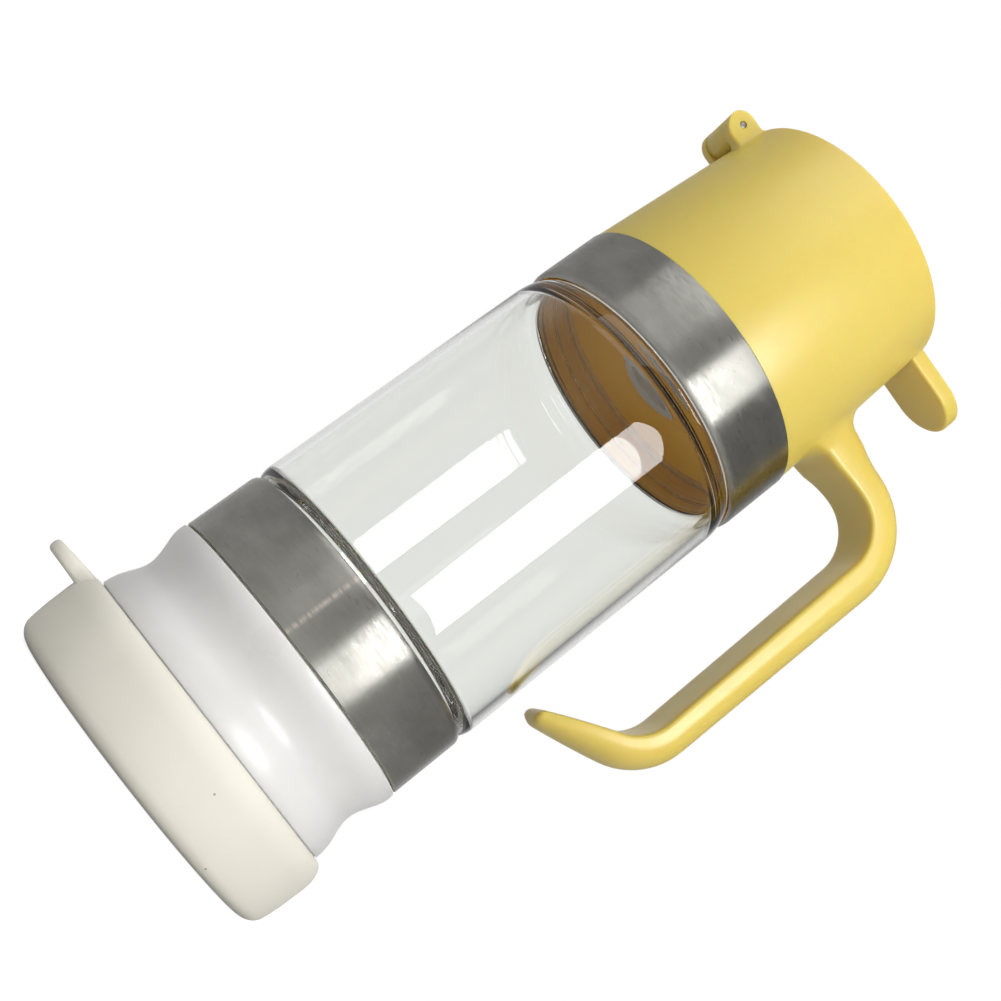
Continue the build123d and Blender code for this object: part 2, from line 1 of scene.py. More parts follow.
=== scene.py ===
"""Honey dispenser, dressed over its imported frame.

The classes hold their sizes in millimetres. A mesh is scaled to metres when its piece is finished.
"""

import logging
import math
from dataclasses import dataclass, replace
from enum import Enum
from functools import cached_property, partial
from typing import Callable, Sequence

import bmesh
import bpy
from mathutils import Matrix, Vector
from mathutils.geometry import interpolate_bezier


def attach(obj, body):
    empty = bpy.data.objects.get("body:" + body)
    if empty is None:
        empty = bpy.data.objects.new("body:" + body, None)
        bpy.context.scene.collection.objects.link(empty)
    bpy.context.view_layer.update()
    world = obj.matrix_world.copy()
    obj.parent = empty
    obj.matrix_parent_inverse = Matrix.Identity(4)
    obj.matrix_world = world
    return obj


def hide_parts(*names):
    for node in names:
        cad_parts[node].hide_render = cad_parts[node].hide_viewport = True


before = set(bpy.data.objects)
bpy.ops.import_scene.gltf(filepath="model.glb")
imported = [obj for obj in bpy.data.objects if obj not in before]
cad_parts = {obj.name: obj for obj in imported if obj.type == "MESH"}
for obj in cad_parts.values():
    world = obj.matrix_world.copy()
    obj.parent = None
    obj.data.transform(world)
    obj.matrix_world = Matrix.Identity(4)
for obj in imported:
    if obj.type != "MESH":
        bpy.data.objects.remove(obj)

LOG = logging.getLogger("honey_dispenser")
MM = 0.001
FULL_TURN = math.tau
QUARTER_TURN = math.pi / 2
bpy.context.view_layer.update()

Colour = tuple[float, float, float, float]
Profile = Callable[[float], float]
Place = Callable[[float], Vector]
BLACK: Colour = (0, 0, 0, 1)
WHITE: Colour = (1, 1, 1, 1)


class Body(Enum):
    """Rigid bodies of the frame."""

    BASE = "base"
    FOOT_UNIT = "foot_unit"
    JAR = "jar"
    HEAD = "head"
    LID = "lid"


class Operation(Enum):
    """Ways of combining two solids."""

    ADD = "UNION"
    CUT = "DIFFERENCE"
    KEEP_COMMON = "INTERSECT"


class BandEnd(Enum):
    """Where the rolled lip of a steel band points."""

    LIP_UP = 1
    LIP_DOWN = -1


@dataclass(frozen=True)
class Levels:
    """Heights of the seats that pieces share, in millimetres above the table."""

    cap_rim: float = 19.0
    low_band: float = 41.0
    ledge_foot: float = 45.8
    ledge: float = 47.8
    low_glass: float = 49.8
    low_lip: float = 59.2
    high_lip: float = 140.4
    high_glass: float = 149.8
    partition: float = 151.0
    floor_top: float = 153.2
    high_band: float = 158.6
    spigot: float = 163.6
    shelf: float = 205.5
    hinge: float = 205.7
    lid: float = 206.0
    top: float = 211.9


LEVELS = Levels()


# Finishes


class Sheet:
    """Node tree of one material, with short ways to add and link nodes."""

    def __init__(self, name: str) -> None:
        """Starts an empty material with its surface shader.

        Args:
            name: Name of the material.
        """
        self.material = bpy.data.materials.new(name)
        self.material.use_nodes = True
        self.tree = self.material.node_tree
        self.tree.nodes.clear()
        self.surface = self.add("ShaderNodeBsdfPrincipled")
        self.link(self.surface, "BSDF", self.add("ShaderNodeOutputMaterial"), "Surface")
        self.place = self.add("ShaderNodeTexCoord")

    def add(self, kind: str, **values: object) -> bpy.types.Node:
        """Adds a node and sets its properties and input values.

        Args:
            kind: Blender's name of the node type.
            **values: Properties by name, or input values by socket name with spaces as underscores.

        Returns:
            The new node.
        """
        node = self.tree.nodes.new(kind)
        for key, value in values.items():
            if hasattr(node, key):
                setattr(node, key, value)
            else:
                node.inputs[key.replace("_", " ")].default_value = value
        return node

    def link(self, source: bpy.types.Node, out: str | int, target: bpy.types.Node, into: str | int) -> None:
        """Links an output socket to an input socket."""
        self.tree.links.new(source.outputs[out], target.inputs[into])

    def set(self, **values: object) -> None:
        """Sets constants on the surface shader's own sockets, spaces written as underscores."""
        for key, value in values.items():
            self.surface.inputs[key.replace("_", " ")].default_value = value

    def noise(self, scale: float, detail: float = 2.0,
              stretch: Sequence[float] = (1, 1, 1)) -> bpy.types.Node:
        """Adds a noise on object coordinates.

        Args:
            scale: Noise cells per metre.
            detail: Octaves.
            stretch: Scale of the coordinates along X, Y and Z.

        Returns:
            The noise node.
        """
        mapping = self.add("ShaderNodeMapping", Scale=stretch)
        noise = self.add("ShaderNodeTexNoise", Scale=scale, Detail=detail)
        self.link(self.place, "Object", mapping, "Vector")
        self.link(mapping, "Vector", noise, "Vector")
        return noise

    def ramp(self, source: bpy.types.Node, *stops: tuple[float, Colour]) -> bpy.types.Node:
        """Adds a colour ramp driven by a node's first output.

        Args:
            source: Node that drives the ramp.
            *stops: Positions and colours.

        Returns:
            The ramp node.
        """
        ramp = self.add("ShaderNodeValToRGB")
        while len(ramp.color_ramp.elements) < len(stops):
            ramp.color_ramp.elements.new(0.5)
        for element, (position, colour) in zip(ramp.color_ramp.elements, stops):
            element.position = position
            element.color = colour
        self.link(source, 0, ramp, "Fac")
        return ramp

    def tinted(self, source: bpy.types.Node, edge: float, shade: Colour, colour: Colour) -> bpy.types.Node:
        """Colours the surface between two colours by a node's first output.

        Args:
            source: Node that drives the colour.
            edge: Value at which the shade ends; the colour starts as far from the other end.
            shade: Colour of low values.
            colour: Colour of high values.

        Returns:
            The ramp node.
        """
        tint = self.ramp(source, (edge, shade), (1 - edge, colour))
        self.link(tint, "Color", self.surface, "Base Color")
        return tint

    def overlaid(self, tint: bpy.types.Node, masks: Sequence[bpy.types.Node], colour: Colour) -> None:
        """Paints a colour over the tint where two masks are both white.

        Args:
            tint: Node with the plain colour.
            masks: The two masks.
            colour: Colour painted there.
        """
        both = self.add("ShaderNodeMath", operation="MULTIPLY")
        for socket, mask in enumerate(masks):
            self.link(mask, "Color", both, socket)
        mix = self.add("ShaderNodeMix", data_type="RGBA")
        self.link(both, 0, mix, 0)
        self.link(tint, "Color", mix, 6)
        mix.inputs[7].default_value = colour
        self.link(mix, 2, self.surface, "Base Color")

    def spread(self, source: bpy.types.Node, low: float, high: float) -> None:
        """Maps the middle of a noise to a range of roughness.

        Args:
            source: The noise.
            low: Least roughness.
            high: Greatest roughness.
        """
        span = self.add("ShaderNodeMapRange", From_Min=0.3, From_Max=0.7, To_Min=low, To_Max=high)
        self.link(source, 0, span, "Value")
        self.link(span, "Result", self.surface, "Roughness")

    def bump(self, source: bpy.types.Node, strength: float, height: float) -> None:
        """Roughens the surface by a node's factor.

        Args:
            source: Node that gives the height.
            strength: Strength of the bump, 0 to 1.
            height: Height of the relief in metres.
        """
        bump = self.add("ShaderNodeBump", Strength=strength, Distance=height)
        self.link(source, 0, bump, "Height")
        self.link(bump, "Normal", self.surface, "Normal")

    def milky(self, weight: float, tinge: Sequence[float], depth: float) -> None:
        """Lets light into the surface.

        Args:
            weight: Share of the light that goes in, 0 to 1.
            tinge: How far red, green and blue go in, as shares of the depth.
            depth: Depth in metres.
        """
        self.set(Subsurface_Weight=weight, Subsurface_Radius=tinge, Subsurface_Scale=depth)


@dataclass(frozen=True)
class Finish:
    """Surface of a piece: its material, and its slot in the record."""

    name: str
    slot: str
    colour: Colour
    shade: Colour

    @cached_property
    def material(self) -> bpy.types.Material:
        """Material, made when it is first asked for.

        Returns:
            The material.
        """
        sheet = Sheet(self.name)
        self.draw(sheet)
        return sheet.material

    def draw(self, sheet: Sheet) -> None:
        """Draws the surface on an empty sheet."""
        raise NotImplementedError


@dataclass(frozen=True)
class SatinPlastic(Finish):
    """Moulded plastic with a soft shine and hardly visible flow marks."""

    name: str = "yellow_satin_plastic"
    slot: str = "yellow_plastic"
    colour: Colour = (0.755, 0.592, 0.128, 1)
    shade: Colour = (0.725, 0.562, 0.112, 1)
    gloss: float = 0.7
    # glow is the strength of a painted orange emission that stands in for light bounced into shaded plastic;
    # 0 paints none.
    glow: float = 0.0

    def draw(self, sheet: Sheet) -> None:
        """Draws flow marks, a fine grain, light that goes a little way in, and a painted orange glow where
        glow is set.

        Args:
            sheet: Empty sheet of the material.
        """
        sheet.tinted(sheet.noise(38.0, 3.0, (1, 1, 0.45)), 0.35, self.shade, self.colour)
        sheet.spread(sheet.noise(220.0, 4.0), 0.30, 0.38)
        sheet.bump(sheet.noise(2600.0), 0.12, 0.00003)
        sheet.milky(0.45, (1.0, 0.5, 0.08), 0.004)
        sheet.set(Specular_IOR_Level=self.gloss)
        # Painted light: an orange emission of strength glow stands in for bounced light in shade.
        sheet.set(Emission_Color=(1.0, 0.42, 0.02, 1), Emission_Strength=self.glow)


@dataclass(frozen=True)
class MatteSilicone(Finish):
    """Soft cream silicone with a few specks of dust."""

    name: str = "cream_matte_silicone"
    slot: str = "cream_silicone"
    colour: Colour = (0.775, 0.748, 0.66, 1)
    shade: Colour = (0.74, 0.712, 0.628, 1)
    speck: Colour = (0.30, 0.27, 0.22, 1)

    def draw(self, sheet: Sheet) -> None:
        """Draws faint clouds, and specks where cells and a second noise meet.

        Args:
            sheet: Empty sheet of the material.
        """
        cloud = sheet.noise(55.0, 4.0)
        tint = sheet.tinted(cloud, 0.3, self.shade, self.colour)
        cells = sheet.add("ShaderNodeTexVoronoi", Scale=210.0, Randomness=1.0)
        sheet.link(sheet.place, "Object", cells, "Vector")
        dots = sheet.ramp(cells, (0.035, WHITE), (0.06, BLACK))
        sparse = sheet.ramp(sheet.noise(70.0, 1.0), (0.58, BLACK), (0.62, WHITE))
        sheet.overlaid(tint, (dots, sparse), self.speck)
        sheet.spread(cloud, 0.58, 0.7)
        sheet.bump(sheet.noise(1500.0, 3.0), 0.18, 0.00004)
        sheet.milky(0.25, (1.0, 0.9, 0.7), 0.0018)


@dataclass(frozen=True)
class MilkySilicone(Finish):
    """Translucent silicone, smooth and a little cloudy."""

    name: str = "milky_silicone"
    slot: str = "clear_silicone"
    colour: Colour = (0.775, 0.762, 0.745, 1)
    shade: Colour = (0.735, 0.722, 0.70, 1)

    def draw(self, sheet: Sheet) -> None:
        """Draws clouds deep in the silicone, and its sheen.

        Args:
            sheet: Empty sheet of the material.
        """
        sheet.tinted(sheet.noise(40.0, 3.0, (1, 1, 0.6)), 0.35, self.shade, self.colour)
        sheet.spread(sheet.noise(60.0), 0.27, 0.35)
        sheet.milky(0.8, (1.0, 0.97, 0.95), 0.004)
        sheet.set(Coat_Weight=0.15, Coat_Roughness=0.2, IOR=1.45)


@dataclass(frozen=True)
class SealSilicone(Finish):
    """Pale grey silicone of valves, washer and seal."""

    name: str = "seal_silicone"
    slot: str = "seal_silicone"
    colour: Colour = (0.68, 0.61, 0.54, 1)
    shade: Colour = (0.60, 0.53, 0.46, 1)

    def draw(self, sheet: Sheet) -> None:
        """Draws faint clouds that are duller where they are pale.

        Args:
            sheet: Empty sheet of the material.
        """
        cloud = sheet.noise(160.0, 3.0)
        sheet.tinted(cloud, 0.35, self.shade, self.colour)
        sheet.spread(cloud, 0.38, 0.5)
        sheet.milky(0.3, (1.0, 0.8, 0.7), 0.001)


@dataclass(frozen=True)
class BrushedSteel(Finish):
    """Stainless sheet with fine scratches that run round the axis, and a weld seam if it shows one."""

    name: str = "brushed_band_steel"
    slot: str = "band_steel"
    colour: Colour = (0.445, 0.435, 0.40, 1)
    shade: Colour = (0.35, 0.345, 0.315, 1)
    weld: Colour = (0.72, 0.65, 0.58, 1)
    weld_half: float = 0.0003
    weld_blur: float = 0.0009
    streak_share: float = 0.14
    seam: float | None = None

    def seamed(self, sheet: Sheet, tint: bpy.types.Node, streaks: bpy.types.Node) -> None:
        """Draws the fine bright line of the weld over the tint.

        Args:
            sheet: Sheet of the material.
            tint: Node with the plain colour.
            streaks: Noise that breaks the line up.
        """
        turn = sheet.add("ShaderNodeMapping", vector_type="POINT", Rotation=(0, 0, -math.radians(self.seam)))
        sheet.link(sheet.place, "Object", turn, "Vector")
        angle = sheet.add("ShaderNodeTexGradient", gradient_type="RADIAL")
        sheet.link(turn, "Vector", angle, "Vector")
        outer = self.weld_half + self.weld_blur
        line = sheet.ramp(angle, (0.5 - outer, BLACK), (0.5 - self.weld_half, WHITE),
                          (0.5 + self.weld_half, WHITE), (0.5 + outer, BLACK))
        sheet.overlaid(tint, (line, sheet.ramp(streaks, (0.3, BLACK), (0.55, WHITE))), self.weld)

    def draw(self, sheet: Sheet) -> None:
        """Draws patches and streaks, and the strokes of the brush.

        Args:
            sheet: Empty sheet of the material.
        """
        streaks = sheet.noise(150.0, 2.0, (1, 1, 14))
        patches = sheet.noise(80.0, 4.0, (1, 1, 1.4))
        rest = sheet.add("ShaderNodeMath", operation="MULTIPLY")
        rest.inputs[1].default_value = 1 - self.streak_share
        blend = sheet.add("ShaderNodeMath", operation="MULTIPLY_ADD")
        blend.inputs[1].default_value = self.streak_share
        sheet.link(patches, 0, rest, 0)
        sheet.link(streaks, 0, blend, 0)
        sheet.link(rest, 0, blend, 2)
        tint = sheet.tinted(blend, 0.38, self.shade, self.colour)
        if self.seam is not None:
            self.seamed(sheet, tint, streaks)
        strokes = sheet.noise(420.0, 3.0, (1, 1, 5))
        sheet.spread(strokes, 0.27, 0.43)
        sheet.bump(strokes, 0.1, 0.00001)
        sheet.set(Metallic=1.0, Anisotropic=0.95, Anisotropic_Rotation=0.25)


@dataclass(frozen=True)
class PinSteel(Finish):
    """Drawn steel wire of the hinge pin."""

    name: str = "pin_steel"
    slot: str = "pin_steel"
    colour: Colour = (0.55, 0.54, 0.52, 1)
    shade: Colour = (0.42, 0.41, 0.4, 1)

    def draw(self, sheet: Sheet) -> None:
        """Draws the grain that drawing leaves along the wire.

        Args:
            sheet: Empty sheet of the material.
        """
        grain = sheet.noise(900.0, 2.0, (1, 0.1, 1))
        sheet.tinted(grain, 0.3, self.shade, self.colour)
        sheet.spread(grain, 0.25, 0.4)
        sheet.set(Metallic=1.0)


@dataclass(frozen=True)
class ClearGlass(Finish):
    """Clear glass with the faintest waves of a drawn tube."""

    name: str = "clear_tube_glass"
    slot: str = "clear_glass"
    colour: Colour = (0.92, 0.928, 0.903, 1)
    shade: Colour = (0.90, 0.908, 0.882, 1)

    def draw(self, sheet: Sheet) -> None:
        """Draws long waves in colour and surface.

        Args:
            sheet: Empty sheet of the material.
        """
        waves = sheet.noise(30.0, 1.0, (1, 1, 0.15))
        sheet.tinted(waves, 0.3, self.shade, self.colour)
        sheet.bump(waves, 0.03, 0.0004)
        sheet.set(Roughness=0.0, Transmission_Weight=1.0, IOR=1.5)


# Mesh tools

Mesh = bmesh.types.BMesh
MERGE_DISTANCE = 0.0005
SHORTEST_EDGE = 0.0001
LEVEL_WITHIN = 1e-6
FINE_STEPS = 320


@dataclass(frozen=True)
class Corner:
    """Point of an outline, with the radius that rounds it off."""

    across: float
    up: float
    round: float = 0.0
    segments: int = 6


def curve(start: Sequence[float], pull: Sequence[float], drag: Sequence[float], end: Sequence[float],
          count: int) -> list[Corner]:
    """Points of a smooth stretch of an outline, both ends included.

    Args:
        start: First point.
        pull: Handle of the first point.
        drag: Handle of the last point.
        end: Last point.
        count: Number of points.

    Returns:
        Unrounded outline points.
    """
    knots = [Vector((point[0], point[1], 0)) for point in (start, pull, drag, end)]
    return [Corner(point.x, point.y) for point in interpolate_bezier(*knots, count)]


def wire(outline: Sequence[Corner]) -> Mesh:
    """Closed wire in the XZ plane with its corners rounded.

    Args:
        outline: Corners in order.

    Returns:
        Mesh that holds only the wire.
    """
    mesh = bmesh.new()
    points = [mesh.verts.new((corner.across, 0, corner.up)) for corner in outline]
    for first, second in zip(points, points[1:] + points[:1]):
        mesh.edges.new((first, second))
    for point, corner in zip(points, outline):
        if corner.round > 0:
            bmesh.ops.bevel(mesh, geom=[point], offset=corner.round, offset_type="OFFSET",
                            segments=corner.segments, profile=0.5, affect="VERTICES", material=-1)
    return mesh


def tidied(mesh: Mesh) -> Mesh:
    """Merges doubles and points all faces outwards.

    Args:
        mesh: Mesh that is worked on.

    Returns:
        The same mesh.
    """
    bmesh.ops.remove_doubles(mesh, verts=mesh.verts[:], dist=MERGE_DISTANCE)
    bmesh.ops.dissolve_degenerate(mesh, edges=mesh.edges[:], dist=SHORTEST_EDGE)
    bmesh.ops.recalc_face_normals(mesh, faces=mesh.faces[:])
    return mesh


def turned(outline: Sequence[Corner], steps: int = 256) -> Mesh:
    """Solid of revolution about Z.

    Args:
        outline: Closed outline as radius and height.
        steps: Facets round the axis.

    Returns:
        Closed mesh.
    """
    mesh = wire(outline)
    bmesh.ops.spin(mesh, geom=mesh.verts[:] + mesh.edges[:], cent=(0, 0, 0), axis=(0, 0, 1), angle=FULL_TURN,
                   steps=steps, use_merge=True)
    return tidied(mesh)


def softened(mesh: Mesh, edge: float, segments: int) -> None:
    """Rounds off the edges at both ends of a bar or plate that lies along Y.

    Args:
        mesh: The bar or plate.
        edge: Radius of the rounding.
        segments: Facets across it.
    """
    rims = [item for item in mesh.edges if abs(item.verts[0].co.y - item.verts[1].co.y) < LEVEL_WITHIN]
    bmesh.ops.bevel(mesh, geom=rims, offset=edge, offset_type="OFFSET", segments=segments, profile=0.5,
                    affect="EDGES", material=-1)


def slab(outline: Sequence[Corner], thickness: float, edge: float, place: Matrix) -> Mesh:
    """Flat plate of any outline with softened edges.

    Args:
        outline: Outline in the plate's own plane.
        thickness: Thickness, symmetric about that plane.
        edge: Radius of the softened edges.
        place: Where the plate's XZ plane goes.

    Returns:
        Closed mesh.
    """
    mesh = wire(outline)
    face = bmesh.ops.contextual_create(mesh, geom=mesh.edges[:])["faces"]
    bmesh.ops.translate(mesh, verts=mesh.verts[:], vec=(0, -thickness / 2, 0))
    pulled = bmesh.ops.extrude_face_region(mesh, geom=face, use_keep_orig=True)
    raised = [item for item in pulled["geom"] if isinstance(item, bmesh.types.BMVert)]
    bmesh.ops.translate(mesh, verts=raised, vec=(0, thickness, 0))
    bmesh.ops.recalc_face_normals(mesh, faces=mesh.faces[:])
    softened(mesh, edge, 4)
    bmesh.ops.transform(mesh, matrix=place, verts=mesh.verts[:])
    return tidied(mesh)


def rod(radius: float, length: float, centre: Sequence[float], edge: float = 0.0, segments: int = 64) -> Mesh:
    """Round bar along Y.

    Args:
        radius: Radius of the bar.
        length: Its length.
        centre: Its middle.
        edge: Radius of its softened ends.
        segments: Facets round it.

    Returns:
        Closed mesh.
    """
    mesh = bmesh.new()
    turn = Matrix.Translation(centre) @ Matrix.Rotation(QUARTER_TURN, 4, "X")
    bmesh.ops.create_cone(mesh, cap_ends=True, segments=segments, radius1=radius, radius2=radius,
                          depth=length, matrix=turn)
    if edge > 0:
        softened(mesh, edge, 3)
    return tidied(mesh)


def brick(low: Sequence[float], high: Sequence[float]) -> Mesh:
    """Box, used to cut, trim and fill.

    Args:
        low: Its lowest corner.
        high: Its highest corner.

    Returns:
        Closed mesh.
    """
    mesh = bmesh.new()
    size = [upper - lower for lower, upper in zip(low, high)]
    middle = [(upper + lower) / 2 for lower, upper in zip(low, high)]
    bmesh.ops.create_cube(mesh, size=1, matrix=Matrix.Translation(middle) @ Matrix.Diagonal((*size, 1)))
    return mesh


def combined(base: Mesh, tool: Mesh, operation: Operation) -> Mesh:
    """Combines two solids and frees both.

    Args:
        base: Solid that is worked on.
        tool: Solid that is added, cut away or kept in common.
        operation: Which of these.

    Returns:
        The new solid.
    """
    shapes = []
    for mesh in (base, tool):
        data = bpy.data.meshes.new("shape")
        mesh.to_mesh(data)
        mesh.free()
        shape = bpy.data.objects.new("shape", data)
        bpy.context.scene.collection.objects.link(shape)
        shapes.append(shape)
    modifier = shapes[0].modifiers.new("combine", "BOOLEAN")
    modifier.operation = operation.value
    modifier.solver = "EXACT"
    modifier.object = shapes[1]
    bpy.context.view_layer.update()
    evaluated = shapes[0].evaluated_get(bpy.context.evaluated_depsgraph_get())
    result = bmesh.new()
    result.from_mesh(evaluated.to_mesh())
    evaluated.to_mesh_clear()
    for shape in shapes:
        data = shape.data
        bpy.data.objects.remove(shape)
        bpy.data.meshes.remove(data)
    return result


def smooth_copy(node: str) -> Mesh:
    """Copy of a frame node in millimetres, its doubles merged.

    Args:
        node: Name of the node.

    Returns:
        The copy.
    """
    mesh = bmesh.new()
    mesh.from_mesh(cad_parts[node].data)
    bmesh.ops.scale(mesh, vec=(1 / MM, 1 / MM, 1 / MM), verts=mesh.verts[:])
    bmesh.ops.remove_doubles(mesh, verts=mesh.verts[:], dist=MERGE_DISTANCE)
    return mesh


def finished(name: str, mesh: Mesh, body: Body, finish: Finish, *nodes: str, crease: float = 32.0) -> None:
    """Turns a mesh into a piece of the dressed model.

    Args:
        name: Name of the piece.
        mesh: Its mesh in millimetres, freed afterwards.
        body: Body that carries it.
        finish: Its finish.
        *nodes: Frame nodes that it stands for.
        crease: Angle in degrees past which an edge shows.
    """
    for face in mesh.faces:
        face.smooth = True
    for edge in mesh.edges:
        edge.smooth = edge.is_manifold and edge.calc_face_angle(0.0) < math.radians(crease)
    bmesh.ops.scale(mesh, vec=(MM, MM, MM), verts=mesh.verts[:])
    data = bpy.data.meshes.new(name)
    mesh.to_mesh(data)
    mesh.free()
    data.materials.append(finish.material)
    piece = bpy.data.objects.new(name, data)
    bpy.context.scene.collection.objects.link(piece)
    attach(piece, body.value)
    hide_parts(*nodes)
    LOG.info("%s: %d faces", name, len(data.polygons))


@dataclass(frozen=True)
class Thread:
    """Round-topped screw thread on a turned wall with close rows of faces."""

    radius: float
    crest: float
    inwards: bool = False
    pitch: float = 4.0
    run_out: float = 0.35
    roundness: float = 0.8
    nearness: float = 0.05

    def wind(self, mesh: Mesh, low: float, high: float, start: float) -> None:
        """Raises the thread on the wall.

        Args:
            mesh: Mesh of the wall.
            low: Lower end of the thread.
            high: Upper end of the thread.
            start: Turn at which the thread's first crest stands.
        """
        fading = self.pitch * self.run_out
        sign = -1 if self.inwards else 1
        for point in mesh.verts:
            reach = math.hypot(point.co.x, point.co.y)
            if abs(reach - self.radius) > self.nearness or not low <= point.co.z <= high:
                continue
            turn = math.atan2(point.co.y, point.co.x) / FULL_TURN
            phase = ((point.co.z - low) / self.pitch - turn - start) % 1.0
            ridge = max(0.0, math.cos((phase - 0.5) * FULL_TURN)) ** self.roundness
            fade = min(1.0, (point.co.z - low) / fading, (high - point.co.z) / fading)
            scale = (reach + sign * self.crest * ridge * fade) / reach
            point.co.x *= scale
            point.co.y *= scale


def skinned(places: Sequence[Place], facets: int) -> Mesh:
    """Closed skin over a row of rings.

    Args:
        places: For each ring, the function from the angle round it to its point.
        facets: Points round a ring.

    Returns:
        Closed mesh.
    """
    mesh = bmesh.new()
    turn = mesh.verts.layers.float.new("turn")
    ring = bmesh.ops.create_circle(mesh, cap_ends=False, radius=1.0, segments=facets)["verts"]
    for point in ring:
        point[turn] = math.atan2(point.co.y, point.co.x)
    for point in ring:
        point.co = places[0](point[turn])
    edges = mesh.edges[:]
    bmesh.ops.contextual_create(mesh, geom=edges)
    for place in places[1:]:
        grown = bmesh.ops.extrude_edge_only(mesh, edges=edges)["geom"]
        edges = [item for item in grown if isinstance(item, bmesh.types.BMEdge)]
        for item in grown:
            if isinstance(item, bmesh.types.BMVert):
                item.co = place(item[turn])
    bmesh.ops.contextual_create(mesh, geom=edges)
    return tidied(mesh)


def squarish(turn: float, squareness: float) -> tuple[float, float]:
    """Point of a square with rounded corners, within 1 of its middle.

    Args:
        turn: Angle round the square.
        squareness: 2 for a circle, more for tighter corners.

    Returns:
        Offsets across and up.
    """
    power = 2 / squareness
    cosine, sine = math.cos(turn), math.sin(turn)
    return math.copysign(abs(cosine) ** power, cosine), math.copysign(abs(sine) ** power, sine)


# Sub-assemblies


def mirrored(side: Sequence[Corner]) -> list[Corner]:
    """Closes an outline with the mirror images of its corners across the middle line."""
    return [*side, *(replace(corner, up=-corner.up) for corner in reversed(side))]


@dataclass(frozen=True)
class BaseCap:
    """Soft cup under the bottle, with the tab that it is pulled off by."""

    foot_radius: float = 40.1
    foot_round: float = 3.2
    swell: float = 0.95
    swell_at: float = 6.5
    widest: float = 41.35
    widest_at: float = 13.6
    widest_pull: float = 2.9
    rim: float = 38.45
    rim_pull: float = 1.7
    bore: float = 38.05
    bore_drop: float = 0.35
    floor: float = 3.0
    tab_reach: float = 51.0
    tab_width: float = 16.0
    tab_round: float = 0.98
    tab_thick: float = 3.1
    tab_edge: float = 1.2
    tab_inset: float = 0.4
    tab_sink: float = 0.15
    tab_fillet: float = 2.6
    fillet_round: float = 2.2
    tab_droop: float = 4.5
    tab_flare: float = 1.3
    flare_power: float = 1.6

    def cup(self) -> Mesh:
        """Turned cup with a bulging side and a rounded rim.

        Returns:
            Closed mesh.
        """
        top = LEVELS.cap_rim
        side = [
            Corner(0, 0),
            Corner(self.foot_radius, 0, self.foot_round, 8),
            Corner(self.foot_radius + self.swell, self.swell_at, 2.0),
            *curve((self.widest, self.widest_at), (self.widest, self.widest_at + self.widest_pull),
                   (self.rim + self.rim_pull, top), (self.rim, top), 9),
            Corner(self.bore, top - self.bore_drop),
            Corner(self.bore, self.floor, 1.5),
            Corner(0, self.floor),
        ]
        return turned(side)

    def tab(self) -> Mesh:
        """Flat tongue with a round end, a filleted root and an underside that flares towards it.

        Returns:
            Closed mesh.
        """
        half = self.tab_width / 2
        root = self.bore + self.tab_inset
        outline = mirrored([
            Corner(-root, half + self.tab_fillet),
            Corner(-root - self.tab_fillet, half, self.fillet_round, 6),
            Corner(-self.tab_reach, half, half * self.tab_round, 16),
        ])
        tongue = slab(outline, self.tab_thick, self.tab_edge, Matrix.Rotation(QUARTER_TURN, 4, "X"))
        for point in tongue.verts:
            if point.co.z < 0:
                nearness = max(0.0, (self.tab_reach + point.co.x) / (self.tab_reach - root))
                point.co.z -= self.tab_flare * nearness ** self.flare_power
        hang = (
            Matrix.Translation((-root, 0, LEVELS.cap_rim - self.tab_thick / 2 - self.tab_sink))
            @ Matrix.Rotation(-math.radians(self.tab_droop), 4, "Y")
            @ Matrix.Translation((root, 0, 0))
        )
        bmesh.ops.transform(tongue, matrix=hang, verts=tongue.verts[:])
        return tongue

    def build(self, finish: Finish) -> None:
        """Builds the cap."""
        cap = combined(self.cup(), self.tab(), Operation.ADD)
        finished("base_cap_cup", cap, Body.BASE, finish, "base_cap")


